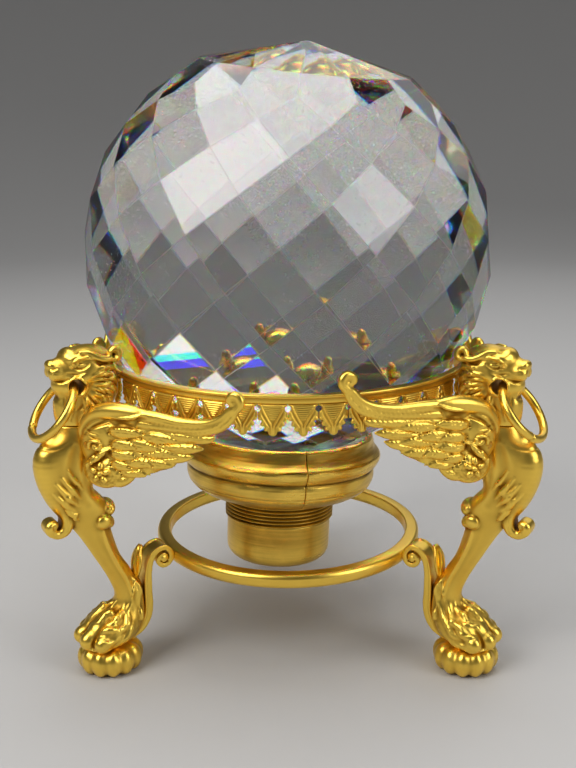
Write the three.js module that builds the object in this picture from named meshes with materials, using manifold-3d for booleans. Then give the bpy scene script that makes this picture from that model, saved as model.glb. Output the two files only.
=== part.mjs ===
// A faceted crystal ball that rests loose in a three-legged gilt stand.
// Millimetres, +Z up, floor at z = 0, front of the object toward -Y.

import * as THREE from 'three';
import { ConvexGeometry } from 'three/addons/geometries/ConvexGeometry.js';
import Module from 'manifold-3d';

const wasm = await Module();
wasm.setup();

// ---------------------------------------------------------------- driving sizes

const ballRadius = 65;
const ballCentreZ = 130;
const ballLeanBack = THREE.MathUtils.degToRad(3.5);
const ballLeanRight = THREE.MathUtils.degToRad(2);
const facetsRound = 15;
// The cutter's axis stands a little off the axis of the collar
const cutForward = THREE.MathUtils.degToRad(8);
const cutRight = THREE.MathUtils.degToRad(3.5);
const cutTurn = THREE.MathUtils.degToRad(15);

const seatTop = 97.5;
const seatOuter = 59.5;
const seatInner = 57;
const galleryTop = 94.6;
const galleryDepth = 9.2;
const leavesPerStrip = 14;

const stretcherInner = 39.9;
const stretcherOuter = 44.6;
const stretcherTop = 36.4;
const stretcherBottom = 31.8;

const footRadius = 10.4;
const footCentre = 66;
const footTop = 9;
const footLobes = 12;

const earringPivot = { r: 74.6, z: 95.3 };
const earringRadius = 9.6;
const earringTube = 1.3;
const earringLean = THREE.MathUtils.degToRad(38);

const wingTurn = THREE.MathUtils.degToRad(38);
const wingDistance = 63;
const wingThickness = 3;
const wingFlank = 6.2;
// The left wing at the front has worked loose: it has turned about its screw and slipped down
const looseWing = { leg: 'leg_c', side: 1, droop: THREE.MathUtils.degToRad(5.5), slip: 1.2 };
const wingScrewAlong = -37.4;
const wingScrewHeight = 79;

const gap = 0.3;

// azimuths are turned from the front (-Y) toward +X
const legs = [
  { name: 'leg_a', azimuth: 60 },
  { name: 'leg_b', azimuth: 180 },
  { name: 'leg_c', azimuth: 300 },
];

const finishes = {
  ormolu: { color: 0xd8a632, roughness: 0.3, metalness: 1 },
  ormolu_dark: { color: 0xb98a2c, roughness: 0.42, metalness: 1 },
  brass: { color: 0x9c8350, roughness: 0.45, metalness: 1 },
  crystal: { color: 0xe6e8ea, roughness: 0.03, metalness: 0 },
  cement: { color: 0xcfc6ae, roughness: 0.9, metalness: 0 },
};

// ---------------------------------------------------------------- solid helpers

function geometryFrom(points, triangles) {
  const geometry = new THREE.BufferGeometry();
  const positions = points.flatMap((point) => [point.x, point.y, point.z]);
  geometry.setAttribute('position', new THREE.Float32BufferAttribute(positions, 3));
  geometry.setIndex(triangles.flat());
  return geometry;
}

// Rings of equal length are joined in order. A closed loft joins the last ring to the first.
function loft(rings, closed = false) {
  const count = rings[0].length;
  const points = rings.flat();
  const triangles = [];
  const bands = closed ? rings.length : rings.length - 1;
  for (let band = 0; band < bands; band += 1) {
    const here = band * count;
    const there = ((band + 1) % rings.length) * count;
    for (let step = 0; step < count; step += 1) {
      const next = (step + 1) % count;
      triangles.push([here + step, here + next, there + next]);
      triangles.push([here + step, there + next, there + step]);
    }
  }
  if (!closed) {
    addCap(points, triangles, rings[0], 0, false);
    addCap(points, triangles, rings.at(-1), (rings.length - 1) * count, true);
  }
  return geometryFrom(points, triangles);
}

function addCap(points, triangles, ring, start, forward) {
  const middle = new THREE.Vector3();
  ring.forEach((point) => middle.add(point));
  middle.divideScalar(ring.length);
  const hub = points.length;
  points.push(middle);
  for (let step = 0; step < ring.length; step += 1) {
    const a = start + step;
    const b = start + ((step + 1) % ring.length);
    triangles.push(forward ? [hub, a, b] : [hub, b, a]);
  }
}

// Turns a closed outline of [radius, height] pairs round Z. The outline runs
// anticlockwise when radius points right and height points up.
function turn(outline, segments) {
  const rings = [];
  for (let step = 0; step < segments; step += 1) {
    const angle = (-Math.PI * 2 * step) / segments;
    const cos = Math.cos(angle);
    const sin = Math.sin(angle);
    rings.push(outline.map(([r, z]) => new THREE.Vector3(r * cos, r * sin, z)));
  }
  return loft(rings, true);
}

// Turns an open profile that starts and ends on the axis. It runs from the bottom to the top.
function turnSolid(profile, segments, radiusAt = () => 1) {
  const points = [new THREE.Vector3(0, 0, profile[0][1])];
  const triangles = [];
  const inner = profile.slice(1, -1);
  inner.forEach(([r, z]) => {
    for (let step = 0; step < segments; step += 1) {
      const angle = (Math.PI * 2 * step) / segments;
      const radius = r * radiusAt(angle);
      points.push(new THREE.Vector3(radius * Math.cos(angle), radius * Math.sin(angle), z));
    }
  });
  points.push(new THREE.Vector3(0, 0, profile.at(-1)[1]));
  const top = points.length - 1;
  const lastRing = 1 + (inner.length - 1) * segments;
  for (let step = 0; step < segments; step += 1) {
    const next = (step + 1) % segments;
    triangles.push([0, 1 + next, 1 + step]);
    triangles.push([top, lastRing + step, lastRing + next]);
    for (let row = 0; row < inner.length - 1; row += 1) {
      const here = 1 + row * segments;
      const there = here + segments;
      triangles.push([here + step, here + next, there + next]);
      triangles.push([here + step, there + next, there + step]);
    }
  }
  return geometryFrom(points, triangles);
}

function ball(radius, x, y, z, segments = 12) {
  const rows = segments / 2;
  const profile = [];
  for (let row = 0; row <= rows; row += 1) {
    const angle = (Math.PI * row) / rows - Math.PI / 2;
    profile.push([radius * Math.cos(angle), radius * Math.sin(angle)]);
  }
  return turnSolid(profile, segments).translate(x, y, z);
}

function egg(radii, x, y, z, segments = 10) {
  const geometry = ball(1, 0, 0, 0, segments);
  return geometry.scale(radii[0], radii[1], radii[2]).translate(x, y, z);
}

// A round rod from one point to another
function rod(radius, from, to, segments = 10) {
  const along = new THREE.Vector3().subVectors(to, from);
  const length = along.length();
  const profile = [[0, 0], [radius, 0], [radius, length], [0, length]];
  const geometry = turnSolid(profile, segments);
  const up = new THREE.Vector3(0, 0, 1);
  geometry.applyQuaternion(new THREE.Quaternion().setFromUnitVectors(up, along.normalize()));
  return geometry.translate(from.x, from.y, from.z);
}

function solidOf(geometry) {
  const vertProperties = new Float32Array(geometry.attributes.position.array);
  const triVerts = new Uint32Array(geometry.index.array);
  return new wasm.Manifold(new wasm.Mesh({ numProp: 3, vertProperties, triVerts }));
}

function geometryOf(solid) {
  const mesh = solid.getMesh();
  const geometry = new THREE.BufferGeometry();
  geometry.setAttribute('position', new THREE.Float32BufferAttribute(mesh.vertProperties, 3));
  geometry.setIndex(Array.from(mesh.triVerts));
  return geometry;
}

function joined(...geometries) {
  return geometryOf(geometries.map(solidOf).reduce((whole, part) => whole.add(part)));
}

function cut(geometry, ...tools) {
  return geometryOf(tools.map(solidOf).reduce((whole, tool) => whole.subtract(tool), solidOf(geometry)));
}

function extruded(outline, thickness) {
  const shape = new THREE.Shape(outline.map(([x, y]) => new THREE.Vector2(x, y)));
  const geometry = new THREE.ExtrudeGeometry(shape, { depth: thickness, bevelEnabled: false });
  geometry.translate(0, 0, -thickness / 2);
  return welded(geometry);
}

function welded(geometry) {
  const source = geometry.attributes.position;
  const index = geometry.index ? Array.from(geometry.index.array) : [...Array(source.count).keys()];
  const seen = new Map();
  const points = [];
  const places = index.map((vertex) => {
    const point = new THREE.Vector3().fromBufferAttribute(source, vertex);
    const key = [point.x, point.y, point.z].map((value) => value.toFixed(4)).join(' ');
    if (!seen.has(key)) {
      seen.set(key, points.length);
      points.push(point);
    }
    return seen.get(key);
  });
  const triangles = [];
  for (let start = 0; start < places.length; start += 3) {
    triangles.push(places.slice(start, start + 3));
  }
  return geometryFrom(points, triangles);
}

function part(name, geometry, finish) {
  const material = new THREE.MeshStandardMaterial({ ...finishes[finish], flatShading: true });
  const mesh = new THREE.Mesh(geometry, material);
  mesh.name = name;
  return mesh;
}

// ---------------------------------------------------------------- crystal ball

// Rows of corners spaced evenly on a Mercator chart make every lozenge facet flat,
// with all four of its corners on the sphere.
function crystal() {
  const halfPitch = Math.PI / facetsRound;
  const rowStep = Math.acosh(1 / Math.cos(halfPitch));
  const lastRow = 5;
  const crownHeight = Math.sin(THREE.MathUtils.degToRad(61));
  const corners = [];
  const addRow = (radius, height, phase) => {
    for (let step = 0; step < facetsRound; step += 1) {
      const angle = (2 * step + phase) * halfPitch;
      corners.push(new THREE.Vector3(radius * Math.cos(angle), radius * Math.sin(angle), height));
    }
  };
  const rowAt = (row) => {
    const latitude = 2 * Math.atan(Math.exp(row * rowStep)) - Math.PI / 2;
    return { radius: Math.cos(latitude), height: Math.sin(latitude), phase: Math.abs(row) % 2 };
  };
  for (let row = -lastRow; row <= lastRow; row += 1) {
    const { radius, height, phase } = rowAt(row);
    addRow(radius, height, phase);
  }
  const last = rowAt(lastRow);
  const below = rowAt(lastRow - 1);
  const inward = (last.radius * Math.cos(halfPitch) - below.radius) / (last.height - below.height);
  const crownRadius = (below.radius + inward * (crownHeight - below.height)) / Math.cos(halfPitch);
  [-1, 1].forEach((side) => {
    addRow(crownRadius, side * crownHeight, last.phase);
    corners.push(new THREE.Vector3(0, 0, side * 0.995));
  });
  corners.forEach((corner) => corner.multiplyScalar(ballRadius));
  const geometry = welded(new ConvexGeometry(corners));
  geometry.rotateZ(cutTurn);
  geometry.rotateY(cutRight);
  return geometry.rotateX(cutForward);
}

// Heights in the ball group are measured from the centre of the ball.
function ballParts() {
  const collar = turnSolid([
    [0, -73], [18.5, -73], [18.5, -81.2], [23, -80.2], [26.5, -78.8], [29, -77.2], [30.4, -75.4],
    [31, -73.8], [31.1, -72], [30.8, -70.3], [31.6, -69.6], [32.7, -68], [33.1, -66.4], [33, -65],
    [32.4, -63.4], [31.4, -62], [30.6, -62.2], [29.9, -62.5], [30.2, -61.7], [30.3, -60.4],
    [29.7, -59.4], [28.5, -59.4], [28.5, -68.5], [26, -70.4], [0, -70.4],
  ], 36);

  const cement = turnSolid([
    [0, -70.1], [25.8, -70.1], [28.2, -68.3], [28.2, -60.6], [26.6, -60.2], [24, -61.3],
    [18, -63.3], [12, -64.6], [0, -65.7],
  ], 24);

  const threadTop = -81.6;
  const threadPitch = 1.2;
  const threadTurns = 5;
  const spigotProfile = [
    [0, -103.1], [11.4, -103.1], [14.4, -102.2], [16.2, -100.8], [17.1, -98.6], [17.1, -88.9],
  ];
  for (let turnIndex = threadTurns; turnIndex >= 0; turnIndex -= 1) {
    const crest = threadTop - threadPitch * (turnIndex + 0.5);
    spigotProfile.push([17.3, crest - threadPitch / 2], [18.1, crest]);
  }
  spigotProfile.push([17.3, threadTop], [17.3, -73.4], [0, -73.4]);
  const spigot = turnSolid(spigotProfile, 30);

  return [
    part('crystal_ball', crystal(), 'crystal'),
    part('collar', collar, 'brass'),
    part('cement_bed', cement, 'cement'),
    part('threaded_spigot', spigot, 'brass'),
  ];
}

// ---------------------------------------------------------------- rings

function seatRing() {
  const outline = [
    [seatInner, galleryTop + gap], [seatOuter - 0.8, galleryTop + gap], [seatOuter - 0.3, seatTop - 1.5],
    [seatOuter, seatTop - 0.8], [seatOuter - 0.2, seatTop], [seatInner, seatTop],
  ];
  const ring = turn(outline, 60);
  return cut(ring, ...legs.map((leg) => aroundAxis(seatRivetRod(0.75, seatInner - 1), leg)));
}

function stretcherRing() {
  const outline = [
    [stretcherInner, stretcherBottom + 1.2], [stretcherInner + 1, stretcherBottom],
    [stretcherOuter - 0.9, stretcherBottom], [stretcherOuter, stretcherBottom + 1.3],
    [stretcherOuter, stretcherTop - 1.2], [stretcherOuter - 0.8, stretcherTop],
    [stretcherInner, stretcherTop],
  ];
  const ring = turn(outline, 48);
  return cut(ring, ...legs.map((leg) => aroundAxis(stretcherRivetRod(1.05, stretcherInner - 1), leg)));
}

// One hanging leaf of the gallery, with half of a round hole at each side
function leafOutline(width) {
  const holeRadius = width * 0.13;
  const holeHeight = -galleryDepth * 0.3;
  const shoulder = -galleryDepth * 0.55;
  const halfHole = (edge, side) => [90, 0, -90].map((degrees) => {
    const angle = THREE.MathUtils.degToRad(degrees);
    return [edge + side * holeRadius * Math.cos(angle), holeHeight + holeRadius * Math.sin(angle)];
  });
  return [
    [0, 0], ...halfHole(0, 1), [0, shoulder], [width * 0.28, -galleryDepth * 0.78],
    [width * 0.5, -galleryDepth], [width * 0.72, -galleryDepth * 0.78], [width, shoulder],
    ...halfHole(width, -1).reverse(), [width, 0], [width * 0.5, 0],
  ];
}

// One third of the pierced leaf gallery, bent round under the seat
function galleryStrip(index) {
  const radius = (seatInner + seatOuter) / 2 + 0.1;
  const thickness = 1.3;
  const span = THREE.MathUtils.degToRad(118);
  const leafWidth = (span * radius) / leavesPerStrip;
  const start = THREE.MathUtils.degToRad(legs[index].azimuth - 90) + THREE.MathUtils.degToRad(1);
  const leaves = [];
  for (let leaf = 0; leaf < leavesPerStrip; leaf += 1) {
    const geometry = extruded(leafOutline(leafWidth), thickness);
    const position = geometry.attributes.position;
    for (let vertex = 0; vertex < position.count; vertex += 1) {
      const angle = start + (leaf * leafWidth + position.getX(vertex)) / radius;
      const reach = radius + position.getZ(vertex);
      const height = galleryTop + position.getY(vertex);
      position.setXYZ(vertex, reach * Math.cos(angle), reach * Math.sin(angle), height);
    }
    leaves.push(geometry);
  }
  return joined(...leaves);
}

// ---------------------------------------------------------------- one leg
// Leg parts are drawn with x outward, y sideways and z up, then turned to their azimuth.

function aroundAxis(geometry, leg) {
  return geometry.rotateZ(THREE.MathUtils.degToRad(leg.azimuth - 90));
}

// An oval slice of a casting: its width runs from an outer to an inner point of the side view
function slice([outerX, outerZ], [innerX, innerZ], halfWidth, segments = 12) {
  const ring = [];
  for (let step = 0; step < segments; step += 1) {
    const angle = (Math.PI * 2 * step) / segments;
    const reach = (1 + Math.cos(angle)) / 2;
    ring.push(new THREE.Vector3(
      innerX + (outerX - innerX) * reach,
      halfWidth * Math.sin(angle),
      innerZ + (outerZ - innerZ) * reach,
    ));
  }
  return ring;
}

// From the shoulder seam down to the toes
const legSlices = [
  { outer: [79.4, 83], inner: [65, 83], half: 5 },
  { outer: [80.4, 80], inner: [65.6, 79.6], half: 5.3 },
  { outer: [84, 78], inner: [66, 77], half: 5.6 },
  { outer: [86.7, 75.2], inner: [66.6, 73], half: 5.8 },
  { outer: [87.1, 70], inner: [67.8, 67], half: 5.8 },
  { outer: [85.6, 63.4], inner: [68.2, 61], half: 5.5 },
  { outer: [83, 57.6], inner: [65, 57], half: 5.2 },
  { outer: [79.2, 52], inner: [63.2, 53], half: 4.9 },
  { outer: [74.6, 46.1], inner: [64, 48], half: 4.5 },
  { outer: [69.7, 37.4], inner: [61, 38.4], half: 4.3 },
  { outer: [65.6, 29.8], inner: [57.6, 31.6], half: 4.4 },
  { outer: [63.4, 23.4], inner: [56, 24], half: 4.9 },
  { outer: [65.4, 20.4], inner: [55.4, 17.6], half: 6 },
  { outer: [69.4, 19.8], inner: [56.2, 13.8], half: 7.8 },
  { outer: [73.4, 17.4], inner: [59, 10.6], half: 9 },
  { outer: [76.2, 13.8], inner: [63.6, 9.5], half: 9.2 },
  { outer: [76.6, 11.4], inner: [69, 9.4], half: 7.6 },
];

function legCasting() {
  const body = loft(legSlices.map(({ outer, inner, half }) => slice(outer, inner, half)).reverse());
  const curl = egg([3.6, 3.6, 3.2], 82, 0, 50.6);
  const knobs = [ball(1.7, 64.6, 1.6, 54.6, 8), ball(1.7, 65.4, -1.6, 51.6, 8)];
  const wingHoles = [-1, 1].map((side) => wingScrewRod(side, 0.95, 0.3));
  return cut(joined(body, curl, ...knobs), neckStudRod(1.3, 1), footScrewRod(1.65), ...wingHoles);
}

function headCasting() {
  const neck = loft([
    { outer: [79.6, 83.3], inner: [65.2, 83.3], half: 5 },
    { outer: [80.6, 87.4], inner: [64, 88], half: 5.4 },
    { outer: [78.4, 91.4], inner: [61.6, 93], half: 6.4 },
    { outer: [76, 97], inner: [61, 98], half: 7.4 },
  ].map(({ outer, inner, half }) => slice(outer, inner, half)));
  const skull = egg([7.4, 7.6, 7.4], 69, 0, 98.4);
  const muzzle = egg([5.6, 4.8, 4.6], 76.6, 0, 98.6);
  const chin = egg([3, 3.6, 2.6], 77.2, 0, 94.4);
  const ears = [-1, 1].map((side) => egg([2.4, 2, 3], 65, side * 6, 104, 8));
  const head = joined(neck, skull, muzzle, chin, ...ears);
  const bore = rod(2.9, new THREE.Vector3(74.6, -12, 95.3), new THREE.Vector3(74.6, 12, 95.3), 10);
  const cheeks = [-1, 1].map((side) => rod(
    4.6,
    new THREE.Vector3(74.9, side * 5, 94.6),
    new THREE.Vector3(74.9, side * 12, 94.6),
    10,
  ));
  return cut(head, bore, ...cheeks, neckStudRod(1.3, 1), seatRivetRod(0.75, seatInner - 1));
}

function neckStudRod(radius, extra = 0) {
  return rod(radius, new THREE.Vector3(70.5, 0, 77 - extra), new THREE.Vector3(70.5, 0, 89 + extra));
}

function footScrewRod(radius) {
  return rod(radius, new THREE.Vector3(footCentre, 0, -1), new THREE.Vector3(footCentre, 0, 15));
}

function seatRivetRod(radius, from) {
  return rod(radius, new THREE.Vector3(from, 0, 96.2), new THREE.Vector3(67, 0, 96.2), 8);
}

function stretcherRivetRod(radius, from) {
  return rod(radius, new THREE.Vector3(from, 0, 34), new THREE.Vector3(49.4, 0, 34), 8);
}

// The side view of a wing in its own plane: x from the root toward the tip, y up
const wingOutline = [
  [-40.6, 83], [-38.6, 87.4], [-34.8, 91], [-29.6, 93.4], [-22, 94.4], [-14, 94], [-6, 93.8],
  [0, 94.8], [4.6, 96.2], [6.6, 98.8], [6.4, 101.6], [8, 104], [10.4, 104.6], [12.6, 103],
  [13, 100.4], [11.8, 97.6], [9.4, 94.6], [4.4, 92], [1.2, 88.6], [-0.8, 84.8], [-5, 81.6],
  [-9, 78.8], [-15, 76.3], [-19.4, 74.4], [-22, 71.4], [-26, 68.8], [-31, 67.6], [-35.6, 68.6],
  [-38, 72], [-37.2, 76.2], [-39.6, 79],
];

function wing(side, leg) {
  const plate = extruded([...wingOutline].reverse(), wingThickness);
  if (leg.name === looseWing.leg && side === looseWing.side) {
    plate.translate(-wingScrewAlong, -wingScrewHeight, 0).rotateZ(-looseWing.droop);
    plate.translate(wingScrewAlong, wingScrewHeight - looseWing.slip, 0);
  }
  const normal = new THREE.Vector3(Math.cos(wingTurn), side * Math.sin(wingTurn), 0);
  const along = new THREE.Vector3(-Math.sin(wingTurn), side * Math.cos(wingTurn), 0);
  const up = new THREE.Vector3(0, 0, 1);
  const outward = new THREE.Vector3().crossVectors(along, up);
  plate.applyMatrix4(new THREE.Matrix4().makeBasis(along, up, outward));
  plate.translate(normal.x * wingDistance, normal.y * wingDistance, 0);
  const flank = new THREE.BoxGeometry(60, 20, 80);
  flank.translate(75, side * (wingFlank - 10), 85);
  const recess = rod(1.8, wingScrewAt(side, 9.6), wingScrewAt(side, 16), 10);
  return cut(plate, welded(flank), wingScrewRod(side, 0.95, 0.3), recess);
}

function wingScrewAt(side, reach) {
  return new THREE.Vector3(73.6, side * reach, wingScrewHeight);
}

function wingScrewRod(side, radius, extra = 0) {
  return rod(radius, wingScrewAt(side, 2.6 - extra), wingScrewAt(side, 10.2 + extra), 8);
}

function wingScrew(side) {
  const head = rod(1.5, wingScrewAt(side, 9.9), wingScrewAt(side, 10.9), 10);
  return joined(wingScrewRod(side, 0.7), head);
}

function footScrew() {
  const profile = [[0, 0.8], [3, 0.8], [3, 2.2], [1.4, 2.6], [1.4, 14.6], [0, 14.6]];
  const screw = turnSolid(profile, 12).translate(footCentre, 0, 0);
  const slot = welded(new THREE.BoxGeometry(8, 0.9, 0.8)).translate(footCentre, 0, 0.9);
  return cut(screw, slot);
}

function bunFoot() {
  const lobes = (angle) => 1 - 0.055 * (1 - Math.abs(Math.cos((footLobes * angle) / 2)));
  const profile = [
    [0, 0], [7.6, 0], [9.2, 1.1], [footRadius, 3.6],
    [footRadius, 5.4], [9.2, 7.9], [7.4, footTop], [0, footTop],
  ];
  const bun = turnSolid(profile, footLobes * 2, lobes).translate(footCentre, 0, 0);
  const well = rod(3.4, new THREE.Vector3(footCentre, 0, -1), new THREE.Vector3(footCentre, 0, 3), 14);
  return cut(bun, well, footScrewRod(1.7));
}

// The scrolled strap that ties the heel to the stretcher ring
const strapLine = [
  { at: [45.9, 37.8], thick: 1.6 },
  { at: [48, 38.4], thick: 2 },
  { at: [50.6, 37.4], thick: 2.2 },
  { at: [52.4, 34.6], thick: 2.4 },
  { at: [53.2, 30.4], thick: 2.6 },
  { at: [53.4, 25], thick: 2.8 },
  { at: [53.3, 19.4], thick: 3 },
  { at: [54, 15.4], thick: 2.6 },
  { at: [56.2, 12], thick: 1.8 },
];

function strap() {
  const rings = strapLine.map(({ at, thick }, index) => {
    const before = strapLine[Math.max(index - 1, 0)].at;
    const after = strapLine[Math.min(index + 1, strapLine.length - 1)].at;
    const along = new THREE.Vector2(after[0] - before[0], after[1] - before[1]).normalize();
    const across = [(-along.y * thick) / 2, (along.x * thick) / 2];
    const half = 3.6;
    return [[-1, 1], [1, 1], [1, -1], [-1, -1]].map(([lift, side]) => new THREE.Vector3(
      at[0] + across[0] * lift,
      side * half,
      at[1] + across[1] * lift,
    ));
  });
  const band = loft(rings);
  const volute = rod(3, new THREE.Vector3(48, -3.8, 34.4), new THREE.Vector3(48, 3.8, 34.4), 12);
  const legClearance = loft(legSlices.slice(9).map(({ outer, inner, half }) => (
    slice([outer[0] + gap, outer[1]], [inner[0] - gap, inner[1] - gap * 0.7], half + gap)
  )).reverse());
  return cut(joined(band, volute), legClearance, stretcherRivetRod(1.05, 40));
}

// A leaf that springs from the strap and stands in the crook of the leg
function strapLeaf() {
  const rings = [
    { at: [55.1, 30], along: 1.1, half: 2.6 },
    { at: [55.2, 33.4], along: 1, half: 2.9 },
    { at: [54.9, 36.6], along: 0.8, half: 2.2 },
    { at: [54.2, 38.8], along: 0.5, half: 1 },
  ].map(({ at, along, half }) => slice([at[0] + along, at[1]], [at[0] - along * 0.5, at[1]], half, 8));
  return loft(rings);
}

function earring() {
  const around = 28;
  const sides = 7;
  const rings = [];
  for (let step = 0; step < around; step += 1) {
    const angle = (Math.PI * 2 * step) / around;
    const ring = [];
    for (let side = 0; side < sides; side += 1) {
      const turnAngle = (Math.PI * 2 * side) / sides;
      const reach = earringRadius + earringTube * Math.cos(turnAngle);
      ring.push(new THREE.Vector3(
        -earringTube * Math.sin(turnAngle),
        reach * Math.cos(angle),
        reach * Math.sin(angle) - earringRadius,
      ));
    }
    rings.push(ring);
  }
  const geometry = loft(rings, true);
  geometry.rotateY(-earringLean);
  return geometry.translate(earringPivot.r, 0, earringPivot.z);
}

function legParts(leg) {
  const group = new THREE.Group();
  const neckStud = neckStudRod(1, -0.2);
  const seatRivet = seatRivetRod(0.5, seatInner + 0.2);
  const stretcherRivet = stretcherRivetRod(0.8, stretcherInner + 0.2);
  group.add(
    part(`${leg.name}_casting`, legCasting(), 'ormolu'),
    part(`${leg.name}_head`, headCasting(), 'ormolu'),
    part(`${leg.name}_wing_left`, wing(1, leg), 'ormolu'),
    part(`${leg.name}_wing_right`, wing(-1, leg), 'ormolu'),
    part(`${leg.name}_wing_left_screw`, wingScrew(1), 'ormolu_dark'),
    part(`${leg.name}_wing_right_screw`, wingScrew(-1), 'ormolu_dark'),
    part(`${leg.name}_mouth_ring`, earring(), 'ormolu'),
    part(`${leg.name}_neck_stud`, neckStud, 'ormolu_dark'),
    part(`${leg.name}_seat_rivet`, seatRivet, 'ormolu_dark'),
    part(`${leg.name}_scroll_strap`, strap(), 'ormolu'),
    part(`${leg.name}_strap_leaf`, strapLeaf(), 'ormolu'),
    part(`${leg.name}_stretcher_rivet`, stretcherRivet, 'ormolu_dark'),
    part(`${leg.name}_bun_foot`, bunFoot(), 'ormolu'),
    part(`${leg.name}_foot_screw`, footScrew(), 'ormolu_dark'),
  );
  group.rotation.z = THREE.MathUtils.degToRad(leg.azimuth - 90);
  return group;
}

// ---------------------------------------------------------------- assembly

const object = new THREE.Group();
object.name = 'crystal_ball_on_stand';

const ballGroup = new THREE.Group();
ballGroup.position.z = ballCentreZ;
ballGroup.rotation.set(-ballLeanBack, ballLeanRight, 0);
ballGroup.add(...ballParts());
object.add(ballGroup);

object.add(part('seat_ring', seatRing(), 'ormolu'));
object.add(part('stretcher_ring', stretcherRing(), 'ormolu'));
legs.forEach((leg, index) => {
  object.add(part(`gallery_strip_${index + 1}`, galleryStrip(index), 'ormolu'));
  object.add(legParts(leg));
});

export default object;
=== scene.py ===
"""Looks for the crystal ball that rests in its gilt stand.

Sizes of the castings are in millimetres in their own frame (x outward from the axis, y sideways, z up)
and become metres when the meshes are made.
"""

import itertools
import math

import bmesh
import bpy
import numpy as np
import openvdb
from mathutils import Matrix, Vector


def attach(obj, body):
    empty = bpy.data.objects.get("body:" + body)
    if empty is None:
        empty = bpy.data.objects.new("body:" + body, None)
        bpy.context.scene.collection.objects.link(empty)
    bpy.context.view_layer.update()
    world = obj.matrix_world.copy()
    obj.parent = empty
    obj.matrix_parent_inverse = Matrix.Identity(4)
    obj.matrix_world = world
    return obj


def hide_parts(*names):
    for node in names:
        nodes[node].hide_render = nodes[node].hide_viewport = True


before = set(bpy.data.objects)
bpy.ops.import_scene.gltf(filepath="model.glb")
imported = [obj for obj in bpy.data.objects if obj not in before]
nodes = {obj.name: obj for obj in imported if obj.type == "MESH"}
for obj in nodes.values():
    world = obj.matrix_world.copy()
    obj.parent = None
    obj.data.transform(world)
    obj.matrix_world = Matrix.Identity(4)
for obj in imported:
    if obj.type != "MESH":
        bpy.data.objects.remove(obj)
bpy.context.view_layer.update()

MM = 0.001
# Where the legs stand, in degrees from the front toward +X
LEGS = {"leg_a": 60, "leg_b": 180, "leg_c": 300}
BALL_CENTRE = Vector((0, 0, 0.130))
BALL_LEAN_BACK = math.radians(3.5)
BALL_LEAN_RIGHT = math.radians(2)


# ---------------------------------------------------------------- materials

def new_material(name):
    material = bpy.data.materials.new(name)
    material.use_nodes = True
    tree = material.node_tree
    return material, tree, tree.nodes["Principled BSDF"]


def noise(tree, scale, detail=3.0, roughness=0.55, stretch=(1, 1, 1)):
    """A noise in the piece's own frame, squeezed along each axis by stretch."""
    place = tree.nodes.new("ShaderNodeTexCoord")
    squeeze = tree.nodes.new("ShaderNodeMapping")
    squeeze.inputs["Scale"].default_value = stretch
    texture = tree.nodes.new("ShaderNodeTexNoise")
    texture.inputs["Scale"].default_value = scale
    texture.inputs["Detail"].default_value = detail
    texture.inputs["Roughness"].default_value = roughness
    tree.links.new(place.outputs["Object"], squeeze.inputs["Vector"])
    tree.links.new(squeeze.outputs["Vector"], texture.inputs["Vector"])
    return texture.outputs["Fac"]


def ramp(tree, factor, stops):
    """stops is a list of (position, colour or number)."""
    node = tree.nodes.new("ShaderNodeValToRGB")
    elements = node.color_ramp.elements
    while len(elements) < len(stops):
        elements.new(0.5)
    for element, (position, colour) in zip(elements, stops):
        element.position = position
        if isinstance(colour, (int, float)):
            colour = (colour, colour, colour)
        element.color = (*colour, 1)
    tree.links.new(factor, node.inputs["Fac"])
    return node.outputs["Color"]


def math_node(tree, operation, first, second=0.5, clamp=False):
    node = tree.nodes.new("ShaderNodeMath")
    node.operation = operation
    node.use_clamp = clamp
    for socket, value in zip(node.inputs, (first, second)):
        if isinstance(value, (int, float)):
            socket.default_value = value
        else:
            tree.links.new(value, socket)
    return node.outputs[0]


def bumped(tree, shader, height, distance, strength=1.0):
    bump = tree.nodes.new("ShaderNodeBump")
    bump.inputs["Strength"].default_value = strength
    bump.inputs["Distance"].default_value = distance
    tree.links.new(height, bump.inputs["Height"])
    tree.links.new(bump.outputs["Normal"], shader.inputs["Normal"])


def hollow_of(tree):
    """How deep in a hollow a point lies: 0 on the high places and 1 in the deepest creases. The gilt is
    darkened by it as painted shade, with some patina.
    """
    node = tree.nodes.new("ShaderNodeAttribute")
    node.attribute_name = "hollow"
    return node.outputs["Fac"]


def gilt(name, high, low, smoothest=0.2, roughest=0.42, turned=0.0):
    """Fire-gilt brass: bright on the high places, browner and duller in the hollows, where the browner colour
    is painted shade as well as patina.

    turned is how strongly the fine lines round a turned piece show.
    """
    material, tree, shader = new_material(name)
    shader.inputs["Metallic"].default_value = 1.0
    patches = noise(tree, 90, 4, 0.6)
    specks = noise(tree, 900, 2, 0.6)
    uneven = math_node(tree, "MULTIPLY_ADD", patches, 0.35 + 0.5 * turned)
    uneven.node.inputs[2].default_value = -0.17 - 0.25 * turned
    height = math_node(tree, "ADD", specks, math_node(tree, "MULTIPLY", patches, 2.0))
    if turned:
        lines = noise(tree, 40, 3, 0.6, (1, 1, 45))
        dark_lines = math_node(tree, "MULTIPLY_ADD", lines, 0.7 * turned)
        dark_lines.node.inputs[2].default_value = -0.35 * turned
        uneven = math_node(tree, "ADD", uneven, dark_lines)
        height = math_node(tree, "ADD", height, math_node(tree, "MULTIPLY", lines, 2.5 * turned))
    depth = math_node(tree, "ADD", hollow_of(tree), uneven, clamp=True)
    middle = tuple(0.6 * a + 0.4 * b for a, b in zip(high, low))
    # Painted shade: the colour runs from high to low as the hollow value rises, standing in for the shade in
    # creases, with some patina and random tone mixed in.
    colour = ramp(tree, depth, [(0.0, high), (0.5, middle), (1.0, low)])
    tree.links.new(colour, shader.inputs["Base Color"])
    gloss = ramp(tree, depth, [(0.0, smoothest), (0.5, (smoothest + roughest) / 2), (1.0, roughest)])
    tree.links.new(gloss, shader.inputs["Roughness"])
    bumped(tree, shader, height, 0.00005, 0.6)
    return material


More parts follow.
